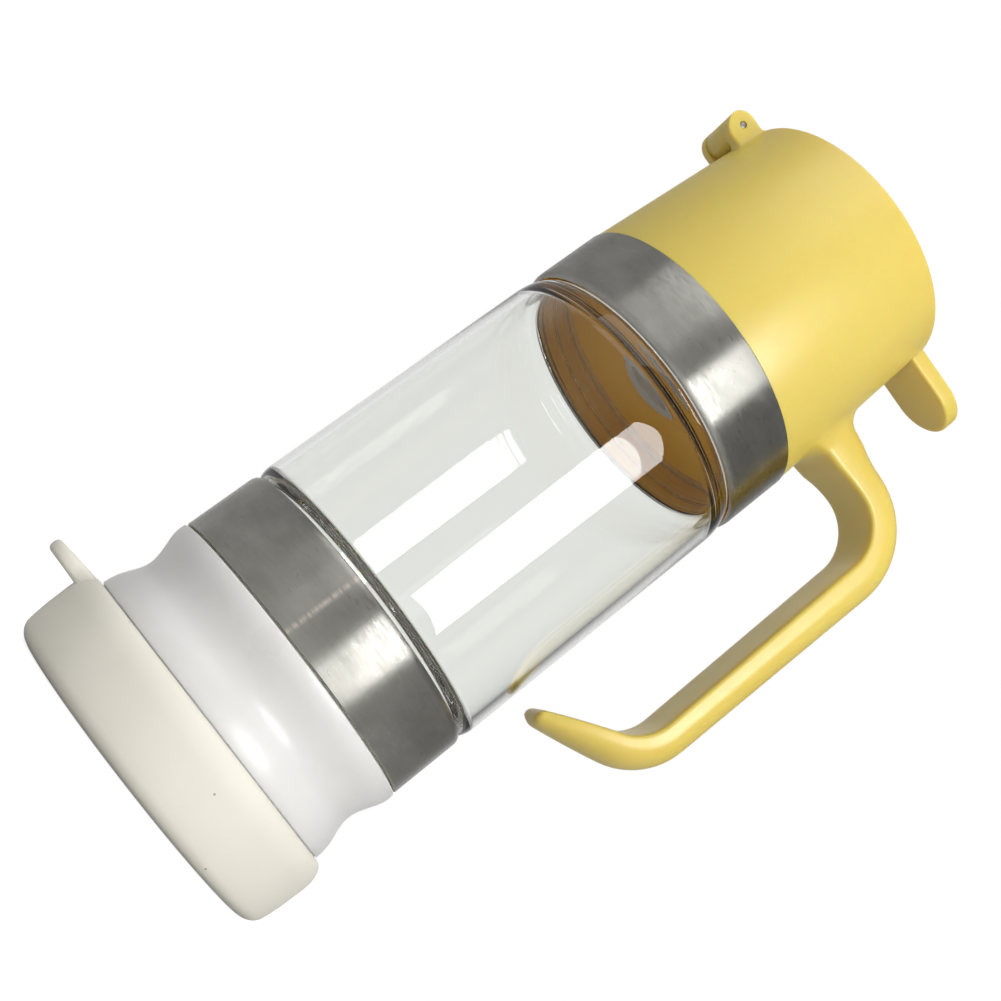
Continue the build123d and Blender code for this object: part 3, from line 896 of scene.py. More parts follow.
@dataclass(frozen=True)
class SqueezeBulb:
    """Waisted silicone body with its funnel floor and outlet."""

    radius: float = 37.75
    wall: float = 1.8
    waist: float = 35.4
    waist_at: float = 29.7
    above_waist: tuple[float, float, float] = (38.8, 36.2, 33.0)
    below_waist: tuple[float, float, float] = (26.2, 24.6, 19.35)
    groove: float = 0.6
    groove_radius: float = 35.7
    flange: float = 35.0
    neck: float = 30.7
    throat: float = 28.7
    upper_bore: float = 33.9
    upper_bore_top: float = 44.0
    plug_step: float = 0.5
    plug_top: float = 19.25
    foot: float = 3.0
    foot_round: float = 3.6
    skirt: float = 4.0
    skirt_top: float = 13.7
    outlet: float = 9.2
    outlet_top: float = 7.7
    outlet_foot: float = 3.8
    hole: float = 5.1
    seat: float = 7.4
    seat_foot: float = 5.8
    funnel_foot: float = 9.5
    funnel_top: float = 15.5

    def side(self, inset: float) -> list[Corner]:
        """Waisted stretch of the wall from top to bottom.

        Args:
            inset: Distance inwards from the outer surface.

        Returns:
            Outline points.
        """
        full = self.radius - inset
        slim = self.waist - inset
        high, high_pull, high_drag = self.above_waist
        low_pull, low_drag, low = self.below_waist
        upper = curve((full, high), (full, high_pull), (slim, high_drag), (slim, self.waist_at), 17)
        lower = curve((slim, self.waist_at), (slim, low_pull), (full, low_drag), (full, low), 19)
        return upper + lower[1:]

    def build(self, finish: Finish) -> None:
        """Builds the bulb.

        Args:
            finish: Its finish.
        """
        inner = self.radius - self.wall
        outline = [
            Corner(self.throat, LEVELS.low_glass),
            Corner(self.flange, LEVELS.low_glass),
            Corner(self.flange, LEVELS.ledge),
            Corner(self.neck, LEVELS.ledge),
            Corner(self.neck, LEVELS.ledge_foot),
            Corner(self.groove_radius, LEVELS.ledge_foot),
            Corner(self.groove_radius, LEVELS.low_band - self.groove),
            Corner(self.radius, LEVELS.low_band - self.groove, 0.4, 4),
            *self.side(0.0),
            Corner(self.radius - self.plug_step, self.plug_top, 0.1, 2),
            Corner(self.radius - self.plug_step, self.foot, self.foot_round, 8),
            Corner(inner - self.skirt, self.foot, 0.4, 3),
            Corner(inner, self.foot + self.skirt, 1.0, 4),
            Corner(inner, self.skirt_top, 1.0, 4),
            Corner(self.outlet, self.outlet_top, 1.0, 4),
            Corner(self.outlet, self.outlet_foot, 0.4, 3),
            Corner(self.hole, self.outlet_foot),
            Corner(self.hole, self.seat_foot),
            Corner(self.seat, self.seat_foot),
            Corner(self.seat, self.funnel_foot, 1.2, 4),
            Corner(inner, self.funnel_top, 2.0, 4),
            *reversed(self.side(self.wall)),
            Corner(self.upper_bore, LEVELS.low_band, 1.0, 4),
            Corner(self.upper_bore, self.upper_bore_top, 1.0, 4),
            Corner(self.throat, LEVELS.ledge_foot, 0.8, 4),
        ]
        finished("squeeze_bulb_body", turned(outline), Body.FOOT_UNIT, finish, "squeeze_bulb")


@dataclass(frozen=True)
class SteelBand:
    """Steel band whose last stretch rolls inwards."""

    node: str
    body: Body
    foot: float
    end: BandEnd
    radius: float = 37.5
    sheet: float = 0.4
    height: float = 18.2
    lip_reach: float = 1.0
    lip_rise: float = 1.9
    outer_bend: float = 0.55
    inner_bend: float = 0.3
    inner_rise: float = 0.8
    flat_end: float = 0.02

    def build(self, finish: Finish) -> None:
        """Builds the band.

        Args:
            finish: Its finish.
        """
        inner = self.radius - self.sheet
        start = self.height - self.lip_rise
        tip = self.radius - self.lip_reach
        under = self.height - self.sheet
        outline = [
            Corner(inner, 0, 0.1, 2),
            Corner(self.radius, 0, 0.15, 3),
            *curve((self.radius, start), (self.radius, start + self.lip_rise * self.outer_bend),
                   (tip + self.lip_reach * self.outer_bend, self.height), (tip, self.height), 10),
            Corner(tip, under),
            *curve((tip + self.flat_end, under), (tip + self.lip_reach * self.inner_bend, under),
                   (inner, start + self.inner_rise), (inner, start), 7),
        ]
        band = turned(outline)
        if self.end is BandEnd.LIP_DOWN:
            turn = Matrix.Rotation(math.pi, 3, "X")
            bmesh.ops.rotate(band, cent=(0, 0, 0), matrix=turn, verts=band.verts[:])
        bmesh.ops.translate(band, verts=band.verts[:], vec=(0, 0, self.foot))
        finished(self.node + "_sheet", band, self.body, finish, self.node)


@dataclass(frozen=True)
class GlassTube:
    """Clear tube with a rounded shoulder and a threaded neck at each end."""

    radius: float = 37.5
    wall: float = 2.2
    neck: float = 35.0
    bore: float = 33.0
    shoulder: float = 58.5
    low_rise: float = 4.8
    high_rise: float = 7.5
    outer_pulls: tuple[float, float] = (0.053, 0.56)
    outer_lead: float = 1.4
    inner_pulls: tuple[float, float] = (0.453, 0.613)
    inner_foot: float = 0.147
    rim_round: float = 0.9
    crest: float = 0.65
    thread_turns: tuple[float, float] = (0.1, 0.4)
    thread_margins: tuple[float, float] = (1.0, 0.6)
    row_margin: float = 0.1
    rows: int = 26
    crease: float = 50.0

    def end(self, rise: float) -> tuple[list[Corner], list[Corner]]:
        """Outline of the lower end.

        Args:
            rise: Height over which the shoulder widens.

        Returns:
            Outside and inside, both from the neck to the tube and back.
        """
        low, full = LEVELS.low_glass, self.shoulder + rise
        step = (self.shoulder - low - self.rim_round - 2 * self.row_margin) / self.rows
        first = low + self.rim_round + self.row_margin
        foot_pull, full_drag = self.outer_pulls
        outside = [
            Corner(self.bore, low, self.rim_round, 5),
            Corner(self.neck, low, self.rim_round, 5),
            *(Corner(self.neck, first + step * row) for row in range(self.rows + 1)),
            *curve((self.neck, self.shoulder),
                   (self.neck + self.outer_lead, self.shoulder + foot_pull * rise),
                   (self.radius, full - full_drag * rise), (self.radius, full), 14),
        ]
        inner = self.radius - self.wall
        full_pull, foot_drag = self.inner_pulls
        inside = curve((inner, full), (inner, full - full_pull * rise),
                       (self.bore, self.shoulder + foot_drag * rise),
                       (self.bore, self.shoulder + self.inner_foot * rise), 14)
        return outside, inside

    def build(self, finish: Finish) -> None:
        """Builds the tube.

        Args:
            finish: Its finish.
        """
        low, high = LEVELS.low_glass, LEVELS.high_glass
        double = low + high
        outside, inside = self.end(self.low_rise)
        over, under = (
            [replace(corner, up=double - corner.up) for corner in corners]
            for corners in self.end(self.high_rise)
        )
        tube = turned([*outside, *reversed(over), *reversed(under), *inside], FINE_STEPS)
        thread = Thread(self.neck, self.crest)
        rim, shoulder = self.thread_margins
        thread.wind(tube, low + rim, self.shoulder - shoulder, self.thread_turns[0])
        thread.wind(tube, double - self.shoulder + shoulder, high - rim, self.thread_turns[1])
        finished("glass_tube_wall", tube, Body.JAR, finish, "glass_tube", crease=self.crease)


@dataclass(frozen=True)
class Collars:
    """Threaded yellow rings inside the two bands, the upper one with the head's floor."""

    bore: float = 36.0
    radius: float = 37.05
    lip_gap: float = 1.9
    ledge_bore: float = 31.0
    lower_rows: float = 48.4
    lower_thread: float = 49.0
    lower_margin: float = 0.3
    lower_turn: float = 0.6
    upper_rows: float = 1.2
    upper_thread: float = 1.4
    upper_margin: float = 0.2
    upper_turn: float = 0.9
    spigot: float = 34.85
    spigot_bore: float = 33.25
    port: float = 8.6
    crest: float = 0.3
    row_count: int = 24

    def rows(self, low: float, high: float) -> list[Corner]:
        """Close rows on the bore from top to bottom, for the thread."""
        count = self.row_count
        return [Corner(self.bore, low + (high - low) * row / count) for row in reversed(range(count + 1))]

    def lower(self, finish: Finish) -> None:
        """Builds the ring in the lower band.

        Args:
            finish: Its finish.
        """
        top = LEVELS.low_lip - self.lip_gap
        outline = [
            Corner(self.bore, LEVELS.low_band),
            Corner(self.radius, LEVELS.low_band),
            Corner(self.radius, top, 0.3, 3),
            *self.rows(self.lower_rows, top),
            Corner(self.bore, LEVELS.ledge),
            Corner(self.ledge_bore, LEVELS.ledge, 0.3, 3),
            Corner(self.ledge_bore, LEVELS.ledge_foot, 0.3, 3),
            Corner(self.bore, LEVELS.ledge_foot),
        ]
        ring = turned(outline)
        thread = Thread(self.bore, self.crest, inwards=True)
        thread.wind(ring, self.lower_thread, top - self.lower_margin, self.lower_turn)
        finished("lower_collar_ring", ring, Body.FOOT_UNIT, finish, "lower_collar")

    def upper(self, finish: Finish) -> None:
        """Builds the insert of the head: ring, floor and spigot.

        Args:
            finish: Its finish.
        """
        low = LEVELS.high_lip + self.lip_gap
        ceiling = LEVELS.partition
        outline = [
            Corner(self.radius, low, 0.3, 3),
            Corner(self.radius, LEVELS.high_band),
            Corner(self.spigot, LEVELS.high_band),
            Corner(self.spigot, LEVELS.spigot, 0.4, 3),
            Corner(self.spigot_bore, LEVELS.spigot, 0.4, 3),
            Corner(self.spigot_bore, LEVELS.floor_top, 1.0, 4),
            Corner(self.port, LEVELS.floor_top),
            Corner(self.port, ceiling),
            Corner(self.bore, ceiling, 0.4, 3),
            *self.rows(low, ceiling - self.upper_rows),
        ]
        ring = turned(outline)
        thread = Thread(self.bore, self.crest, inwards=True)
        thread.wind(ring, low + self.upper_margin, ceiling - self.upper_thread, self.upper_turn)
        finished("upper_collar_insert", ring, Body.HEAD, finish, "upper_collar")


@dataclass(frozen=True)
class Seals:
    """Silicone valves, washer and lid seal, with the ring that clips the outlet valve in."""

    port_neck: float = 8.55
    port_flange: float = 10.2
    port_opening: float = 6.8
    port_proud: float = 1.6
    port_rise: float = 1.2
    skin: float = 0.8
    slit_share: float = 0.7
    slit_half: float = 0.12
    slit_spare: float = 0.5
    steps: int = 128

    def port_valve(self, finish: Finish) -> None:
        """Builds the ring and slit membrane in the head's floor.

        Args:
            finish: Its finish.
        """
        foot, floor = LEVELS.partition, LEVELS.floor_top
        low, high = foot - self.port_proud, floor + self.port_rise
        skin = floor - self.skin
        outline = [
            Corner(0, skin),
            Corner(self.port_opening, skin, 0.3, 3),
            Corner(self.port_opening, low, 0.5, 4),
            Corner(self.port_flange, low, 0.6, 4),
            Corner(self.port_flange, foot),
            Corner(self.port_neck, foot),
            Corner(self.port_neck, floor),
            Corner(self.port_flange, floor),
            Corner(self.port_flange, high, 0.5, 4),
            Corner(self.port_opening, high, 0.5, 4),
            Corner(self.port_opening, floor, 0.3, 3),
            Corner(0, floor),
        ]
        valve = turned(outline, self.steps)
        reach = self.port_opening * self.slit_share
        for across, along in ((reach, self.slit_half), (self.slit_half, reach)):
            slit = brick((-across, -along, skin - self.slit_spare), (across, along, floor + self.slit_spare))
            valve = combined(valve, slit, Operation.CUT)
        finished("port_valve_ring", tidied(valve), Body.HEAD, finish, "port_valve")

    def build(self, finish: Finish, honeyed: Finish, clip: Finish) -> None:
        """Builds every seal and the clip.

        Args:
            finish: Finish of valves and lid seal.
            honeyed: Finish of the washer, which the honey has tinted.
            clip: Finish of the clip.
        """
        self.port_valve(finish)
        finished("lid_seal_ring", smooth_copy("lid_seal"), Body.LID, finish, "lid_seal")
        finished("outlet_valve_ring", smooth_copy("outlet_valve"), Body.FOOT_UNIT, finish, "outlet_valve")
        finished("upper_gasket_ring", smooth_copy("upper_gasket"), Body.HEAD, honeyed, "upper_gasket")
        finished("valve_ring_clip", smooth_copy("valve_ring"), Body.FOOT_UNIT, clip, "valve_ring")


def outwards(ahead: Vector) -> Vector:
    """Direction away from the fingers, square to the direction of the strap."""
    return Vector((-ahead.z, 0, ahead.x))


@dataclass(frozen=True)
class Handle:
    """Hook handle: a strap, flat on the finger side and crowned on the other."""

    width: float = 19.2
    depth: float = 10.5
    flat_share: float = 0.3
    squareness: float = 8.0
    arm: float = 178.9
    arm_lead: float = 1.2
    reach: float = 69.84
    corner: float = 17.5
    grip: float = 61.3
    grip_taper: float = 1.2
    hook: float = 15.9
    hook_turn: float = math.radians(60.0)
    end: float = 20.0
    tip_depth: float = 4.6
    tip_width: float = 13.5
    tip_turn: float = math.radians(84)
    fillet: float = 4.6
    flare: float = 1.6
    root_sink: float = 1.4
    root_lap: float = 0.05
    facets: int = 72
    root_steps: int = 8
    arm_steps: int = 8
    corner_steps: int = 18
    grip_steps: int = 6
    hook_steps: int = 12
    end_steps: int = 8
    tip_steps: int = 7

    def section(self, turn: float, width: float, depth: float) -> tuple[float, float]:
        """Point of the strap's section.

        Args:
            turn: Angle round the section.
            width: Width of the strap there.
            depth: Its depth there.

        Returns:
            Offset across the strap and outwards from its centre line.
        """
        low = -depth / 2
        side = low + depth * self.flat_share
        cosine, sine = math.cos(turn), math.sin(turn)
        if sine >= 0:
            return width / 2 * cosine, side + (depth / 2 - side) * sine
        power = 2 / self.squareness
        across = math.copysign(abs(cosine) ** power, cosine) * width / 2
        return across, side + (low - side) * abs(sine) ** power

    def tapered(self, share: float) -> tuple[float, float]:
        """Size of the strap in the stretch that tapers towards the tip.

        Args:
            share: Share of that stretch, 0 to 1.

        Returns:
            Width and depth.
        """
        full = self.depth - self.grip_taper
        width = self.width + (self.tip_width - self.width) * share**3
        return width, full + (self.tip_depth - full) * share**2

    def strap_point(self, origin: Vector, ahead: Vector, size: tuple[float, float], turn: float) -> Vector:
        """Point of a section that stands squarely across the centre line.

        Args:
            origin: Point of the centre line.
            ahead: Its direction there.
            size: Width and depth of the strap.
            turn: Angle round the section.

        Returns:
            The point.
        """
        across, out = self.section(turn, *size)
        return origin + Vector((0, across, 0)) + outwards(ahead) * out

    def root_point(self, wall: Profile, sink: float, angle: float, turn: float) -> Vector:
        """Point of the root fillet, which leaves the round wall tangentially.

        Args:
            wall: Radius of the head's wall at a height.
            sink: Distance by which the ring is sunk into the wall.
            angle: 0 where the fillet lies on the wall, a quarter turn where it meets the strap.
            turn: Angle round the section.

        Returns:
            The point.
        """
        spread = self.fillet * (1 - math.sin(angle)) + self.flare
        off = self.fillet * (1 - math.cos(angle)) - self.root_lap
        across, out = self.section(turn, self.width + 2 * spread, self.depth + 2 * spread)
        height = self.arm + out
        radius = wall(height) - sink + off
        return Vector((math.sqrt(radius * radius - across * across), across, height))

    def upper_rings(self, wall: Profile) -> list[Place]:
        """Rings of root, arm and corner.

        Args:
            wall: Radius of the head's wall at a height.

        Returns:
            The rings from inside the wall to the top of the grip.
        """
        rings: list[Place] = [partial(self.root_point, wall, self.root_sink, 0.0)]
        for step in range(self.root_steps + 1):
            rings.append(partial(self.root_point, wall, 0.0, QUARTER_TURN * step / self.root_steps))
        start = wall(self.arm) + self.fillet
        bend_at = self.reach - self.corner
        for step in range(1, self.arm_steps + 1):
            share = step / self.arm_steps
            flare = 2 * self.flare * (1 - share) ** 2
            along = start + self.arm_lead + (bend_at - start - self.arm_lead) * share
            size = self.width + flare, self.depth + flare
            rings.append(partial(self.strap_point, Vector((along, 0, self.arm)), Vector((1, 0, 0)), size))
        centre = Vector((bend_at, 0, self.arm - self.corner))
        for step in range(1, self.corner_steps + 1):
            angle = QUARTER_TURN * step / self.corner_steps
            ahead = Vector((math.cos(angle), 0, -math.sin(angle)))
            origin = centre + outwards(ahead) * self.corner
            rings.append(partial(self.strap_point, origin, ahead, (self.width, self.depth)))
        return rings

    def lower_rings(self) -> list[Place]:
        """Rings of grip, hook and rounded tip.

        Returns:
            The rings from the top of the grip to the tip.
        """
        rings: list[Place] = []
        for step in range(1, self.grip_steps + 1):
            lost = self.grip_taper * step / self.grip_steps
            height = self.arm - self.corner - self.grip * step / self.grip_steps
            origin = Vector((self.reach - lost / 2, 0, height))
            size = self.width, self.depth - lost
            rings.append(partial(self.strap_point, origin, Vector((0, 0, -1)), size))
        bent = self.hook_turn * self.hook
        tip = self.tip_depth / 2
        taper = bent + self.end - tip
        low = self.arm - self.corner - self.grip
        centre = Vector((self.reach - self.grip_taper / 2 - self.hook, 0, low))
        for step in range(1, self.hook_steps + 1):
            angle = self.hook_turn * step / self.hook_steps
            ahead = Vector((-math.sin(angle), 0, -math.cos(angle)))
            origin = centre + outwards(ahead) * self.hook
            size = self.tapered(bent * step / self.hook_steps / taper)
            rings.append(partial(self.strap_point, origin, ahead, size))
        for step in range(1, self.end_steps + 1):
            along = (self.end - tip) * step / self.end_steps
            size = self.tapered((bent + along) / taper)
            rings.append(partial(self.strap_point, origin + ahead * along, ahead, size))
        for step in range(1, self.tip_steps + 1):
            angle = self.tip_turn * step / self.tip_steps
            along = self.end - tip + tip * math.sin(angle)
            scale = math.cos(angle)
            size = self.tip_width - self.tip_depth * (1 - scale), self.tip_depth * scale
            rings.append(partial(self.strap_point, origin + ahead * along, ahead, size))
        return rings

    def strap(self, wall: Profile) -> Mesh:
        """Whole handle as one closed skin that starts inside the wall."""
        return skinned(self.upper_rings(wall) + self.lower_rings(), self.facets)


@dataclass(frozen=True)
class Head:
    """Drafted yellow cylinder with its handle, hinge ears, lid seat and pin."""

    foot: float = 37.3
    crown: float = 34.8
    wall: float = 2.4
    edge: float = 1.0
    shelf_bore: float = 26.0
    shelf_thick: float = 2.0
    recess: float = 32.0
    recess_top: float = 33.7
    tab_half: float = 9.9
    tab_notch_from: float = 22.4
    tab_notch_rise: float = 0.5
    rear_notch: tuple[float, float] = (-45, -27.9)
    hinge_x: float = -38.3
    hinge_half: float = 9.25
    ear: float = 3.6
    ear_radius: float = 3.9
    ear_foot: float = 4.3
    ear_fillet: float = 1.4
    ear_sink: float = 0.9
    ear_lap: float = 0.04
    ear_turn: float = math.radians(86)
    ear_squareness: float = 12.0
    root_steps: int = 6
    barrel_steps: int = 12
    ear_facets: int = 96
    knuckle: float = 3.8
    knuckle_gap: float = 0.3
    step: float = 0.05
    core_foot: float = 185.0
    core_over: float = 5
    gap_foot: float = 190
    gap_end: float = -20
    over: float = 1
    pin: float = 0.9
    pin_spare: float = 0.05
    pin_less: float = 0.1
    pin_short: float = 0.3
    pin_edge: float = 0.25
    outside: float = 60
    bore_length: float = 40

    def radius(self, height: float) -> float:
        """Radius of the drafted wall at a height."""
        share = (height - LEVELS.high_band) / (LEVELS.top - LEVELS.high_band)
        return self.foot + (self.crown - self.foot) * share

    def hinge(self) -> tuple[float, float, float]:
        """Middle of the hinge pin."""
        return self.hinge_x, 0, LEVELS.hinge

    def shell(self) -> Mesh:
        """Turned wall with the shelf and the recess of the lid.

        Returns:
            Closed mesh.
        """
        inner = self.foot - self.wall
        under = LEVELS.shelf - self.shelf_thick
        outline = [
            Corner(inner, LEVELS.high_band),
            Corner(self.foot, LEVELS.high_band, 0.25, 3),
            Corner(self.crown, LEVELS.top, self.edge, 6),
            Corner(self.recess_top, LEVELS.top, 0.2, 2),
            Corner(self.recess, LEVELS.shelf, 0.3, 3),
            Corner(self.shelf_bore, LEVELS.shelf, 0.4, 3),
            Corner(self.shelf_bore, under, 0.4, 3),
            Corner(self.radius(LEVELS.shelf) - self.wall, under, 0.8, 4),
            Corner(inner, LEVELS.spigot),
        ]
        return turned(outline, FINE_STEPS)

    def core(self) -> Mesh:
        """Cone just inside the outer face of the wall, as a limit for cuts from outside.

        Returns:
            Closed mesh.
        """
        low, high = self.core_foot, LEVELS.top + self.core_over
        outline = [
            Corner(0, low),
            Corner(self.radius(low) - self.step, low),
            Corner(self.radius(high) - self.step, high),
            Corner(0, high),
        ]
        return turned(outline, FINE_STEPS)

    def ear_root_point(self, spread: float, off: float, turn: float) -> Vector:
        """Point of a ring round both ears that follows the wall.

        Args:
            spread: Distance by which the root is wider there.
            off: Distance of the ring from the wall.
            turn: Angle round the ring.

        Returns:
            The point.
        """
        low, high = LEVELS.hinge - self.ear_foot, LEVELS.hinge + self.ear_radius
        across, up = squarish(turn, self.ear_squareness)
        across *= self.hinge_half + spread
        height = (low + high) / 2 + up * ((high - low) / 2 + spread)
        radius = self.radius(height) + off
        return Vector((-math.sqrt(radius * radius - across * across), across, height))

    def barrel_point(self, angle: float, sag: float, turn: float) -> Vector:
        """Point of a ring of the ears past the middle of the pin.

        Args:
            angle: How far round the pin the ring lies.
            sag: Distance by which its lower side hangs.
            turn: Angle round the ring.

        Returns:
            The point.
        """
        across, up = squarish(turn, self.ear_squareness)
        height = up * (self.ear_radius * math.cos(angle)) - (sag if up < 0 else 0)
        out = self.ear_radius * math.sin(angle)
        return Vector(self.hinge()) + Vector((-out, across * self.hinge_half, height))

    def ears(self) -> Mesh:
        """Barrel of both ears with a filleted root, not yet parted for the knuckle.

        Returns:
            Closed mesh.
        """
        rings: list[Place] = [partial(self.ear_root_point, self.ear_fillet, -self.ear_sink)]
        for step in range(self.root_steps + 1):
            angle = QUARTER_TURN * step / self.root_steps
            off = self.ear_fillet * (1 - math.cos(angle)) - self.ear_lap
            rings.append(partial(self.ear_root_point, self.ear_fillet * (1 - math.sin(angle)), off))
        for step in range(self.barrel_steps + 1):
            sag = (self.ear_foot - self.ear_radius) * (1 - step / self.barrel_steps)
            rings.append(partial(self.barrel_point, self.ear_turn * step / self.barrel_steps, sag))
        return skinned(rings, self.ear_facets)

    def build(self, finish: Finish, handle: Handle, pin: Finish) -> None:
        """Builds the shell in one piece with its handle, and the pin.

        Args:
            finish: Finish of the shell.
            handle: Sizes of the handle.
            pin: Finish of the pin.
        """
        head = combined(self.shell(), handle.strap(self.radius), Operation.ADD)
        arm_half = self.hinge_half - self.ear
        ear_side = arm_half + self.step
        over = LEVELS.top + self.over
        gap = brick((-self.outside, -ear_side, self.gap_foot), (self.gap_end, ear_side, over))
        gap = combined(gap, self.core(), Operation.CUT)
        head = combined(head, combined(self.ears(), gap, Operation.CUT), Operation.ADD)
        tab_floor = LEVELS.lid + self.tab_notch_rise
        rear_low, rear_high = self.rear_notch
        cuts = (
            brick((self.tab_notch_from, -self.tab_half, tab_floor), (self.outside, self.tab_half, over)),
            brick((rear_low, -arm_half, LEVELS.shelf), (rear_high, arm_half, over)),
            rod(self.knuckle + self.knuckle_gap, 2 * (ear_side + self.step), self.hinge()),
            rod(self.pin + self.pin_spare, self.bore_length, self.hinge(), segments=32),
        )
        for cut in cuts:
            head = combined(head, cut, Operation.CUT)
        finished("head_shell_body", tidied(head), Body.HEAD, finish, "head_shell")
        length = 2 * self.hinge_half - self.pin_short
        wire_pin = rod(self.pin - self.pin_less, length, self.hinge(), self.pin_edge, 32)
        finished("hinge_pin_wire", wire_pin, Body.HEAD, pin, "hinge_pin")


@dataclass(frozen=True)
class Lid:
    """Recessed lid with its plug, thumb tab, knuckle and the two stretches of rim."""

    radius: float = 31.7
    thick: float = 3.0
    trim: float = 27.9
    plug: float = 25.65
    plug_wall: float = 1.8
    plug_depth: float = 2.8
    groove: tuple[float, float] = (26.3, 27.5)
    groove_depth: float = 0.5
    tab_root: float = 29.0
    tab_reach: float = 54.8
    tab_width: float = 19.2
    tab_round: float = 0.995
    tab_thick: float = 4.4
    tab_edge: float = 0.7
    tab_lift: float = 0.8
    rim_drop: float = 0.6
    gate_spare: float = 0.06
    knuckle: float = 3.86
    knuckle_edge: float = 0.2
    bore_spare: float = 0.06
    arm_width: float = 11.1
    outside: float = 60
    beside: float = 40
    over: float = 5
    spare: float = 1

    def plate(self) -> Mesh:
        """Turned plate with the plug and the seal's groove, trimmed for the hinge.

        Returns:
            Closed mesh.
        """
        foot = LEVELS.lid
        bore = self.plug - self.plug_wall
        groove_in, groove_out = self.groove
        outline = [
            Corner(0, foot),
            Corner(bore, foot, 0.5, 3),
            Corner(bore, foot - self.plug_depth, 0.4, 3),
            Corner(self.plug, foot - self.plug_depth, 0.5, 3),
            Corner(self.plug, foot),
            Corner(groove_in, foot),
            Corner(groove_in, foot + self.groove_depth),
            Corner(groove_out, foot + self.groove_depth),
            Corner(groove_out, foot),
            Corner(self.radius, foot, 0.3, 3),
            Corner(self.radius, foot + self.thick, 0.6, 4),
            Corner(0, foot + self.thick),
        ]
        corner = -self.outside, -self.beside, foot - self.spare
        behind = brick(corner, (-self.trim, self.beside, foot + self.over))
        return combined(turned(outline), behind, Operation.CUT)

    def tab(self) -> Mesh:
        """Thumb tab with a round end.

        Returns:
            Closed mesh.
        """
        half = self.tab_width / 2
        outline = mirrored([
            Corner(self.tab_root, half),
            Corner(self.tab_reach, half, half * self.tab_round, 20),
        ])
        middle = LEVELS.lid + self.tab_lift + self.tab_thick / 2
        level = Matrix.Translation((0, 0, middle)) @ Matrix.Rotation(QUARTER_TURN, 4, "X")
        return slab(outline, self.tab_thick, self.tab_edge, level)

    def fillers(self, head: Head) -> Mesh:
        """Two stretches of rim that close the notches of the head.

        Args:
            head: Sizes of the head.

        Returns:
            Mesh of two closed parts.
        """
        low, high = LEVELS.lid, LEVELS.top - self.rim_drop
        outline = [
            Corner(head.recess, low),
            Corner(head.radius(low), low),
            Corner(head.radius(high), high, 0.8, 4),
            Corner(head.recess, high, 0.4, 3),
        ]
        rim = turned(outline, FINE_STEPS)
        half = self.tab_width / 2 + self.gate_spare
        over = high + self.spare
        front = brick((0, -half, low + self.tab_lift - self.gate_spare), (self.outside, half, over))
        arm = self.arm_width / 2 - 2 * self.gate_spare
        rear = brick((-self.outside, -arm, low - self.spare), (-self.spare, arm, over))
        return combined(rim, combined(front, rear, Operation.ADD), Operation.KEEP_COMMON)

    def build(self, finish: Finish, head: Head) -> None:
        """Builds the lid.

        Args:
            finish: Its finish.
            head: Sizes of the head that it closes.
        """
        half = self.arm_width / 2 - self.gate_spare
        lid = self.plate()
        additions = (
            self.tab(),
            brick((head.hinge_x, -half, LEVELS.lid), (0, half, LEVELS.lid + self.thick)),
            rod(self.knuckle, self.arm_width, head.hinge(), self.knuckle_edge),
            self.fillers(head),
        )
        for addition in additions:
            lid = combined(lid, addition, Operation.ADD)
        bore = rod(head.pin + self.bore_spare, head.bore_length, head.hinge(), segments=32)
        lid = combined(lid, bore, Operation.CUT)
        finished("lid_plate", tidied(lid), Body.LID, finish, "lid")


# Studio


@dataclass(frozen=True)
class SoftBox:
    """Rectangular lamp that faces the bottle; lengths in metres, power in watts."""

    name: str
    azimuth: float
    height: float
    distance: float
    size: tuple[float, float]
    power: float
    aim: float = 0.1

    def build(self) -> None:
        """Sets up the lamp."""
        data = bpy.data.lights.new(self.name, "AREA")
        data.shape = "RECTANGLE"
        data.size, data.size_y = self.size
        data.energy = self.power
        lamp = bpy.data.objects.new(self.name, data)
        turn = math.radians(self.azimuth)
        place = Vector((math.cos(turn) * self.distance, math.sin(turn) * self.distance, self.height))
        lamp.location = place
        lamp.rotation_euler = (place - Vector((0, 0, self.aim))).to_track_quat("Z", "Y").to_euler()
        bpy.context.scene.collection.objects.link(lamp)


@dataclass(frozen=True)
class Viewpoint:
    """Camera of the photograph; lengths in millimetres, image sizes in pixels."""

    distance: float = 320.06
    height: float = 20.2
    azimuth: float = -3.5
    pitch: float = 0.2844
    yaw: float = 0.0371
    roll: float = 0.9115
    focal: float = 1403.3
    centre: tuple[float, float] = (571.0, 509.7)
    image: float = 1001.0
    sensor: float = 36.0
    clipping: tuple[float, float] = (0.01, 20.0)

    def ahead(self) -> Vector:
        """Viewing direction before the turn about the bottle's axis."""
        level = math.cos(self.pitch)
        return Vector((math.sin(self.yaw) * level, math.cos(self.yaw) * level, math.sin(self.pitch)))

    def turn(self, size: int) -> Matrix:
        """Turn about the bottle's axis, as a matrix of a size."""
        return Matrix.Rotation(math.radians(self.azimuth), size, "Z")

    def build(self) -> None:
        """Sets up the camera."""
        data = bpy.data.cameras.new("view")
        data.sensor_width = self.sensor
        data.lens = self.focal / self.image * data.sensor_width
        data.shift_x = (self.image / 2 - self.centre[0]) / self.image
        data.shift_y = (self.centre[1] - self.image / 2) / self.image
        data.clip_start, data.clip_end = self.clipping
        ahead = self.ahead()
        right = ahead.cross(Vector((0, 0, 1))).normalized()
        above = right.cross(ahead)
        cosine, sine = math.cos(self.roll), math.sin(self.roll)
        rows = right * cosine + above * sine, above * cosine - right * sine, -ahead
        axes = Matrix(rows).transposed().to_4x4()
        spot = Matrix.Translation(Vector((0, -self.distance, self.height)) * MM)
        view = bpy.data.objects.new("view", data)
        view.matrix_world = self.turn(4) @ spot @ axes
        bpy.context.scene.collection.objects.link(view)
        bpy.context.scene.camera = view


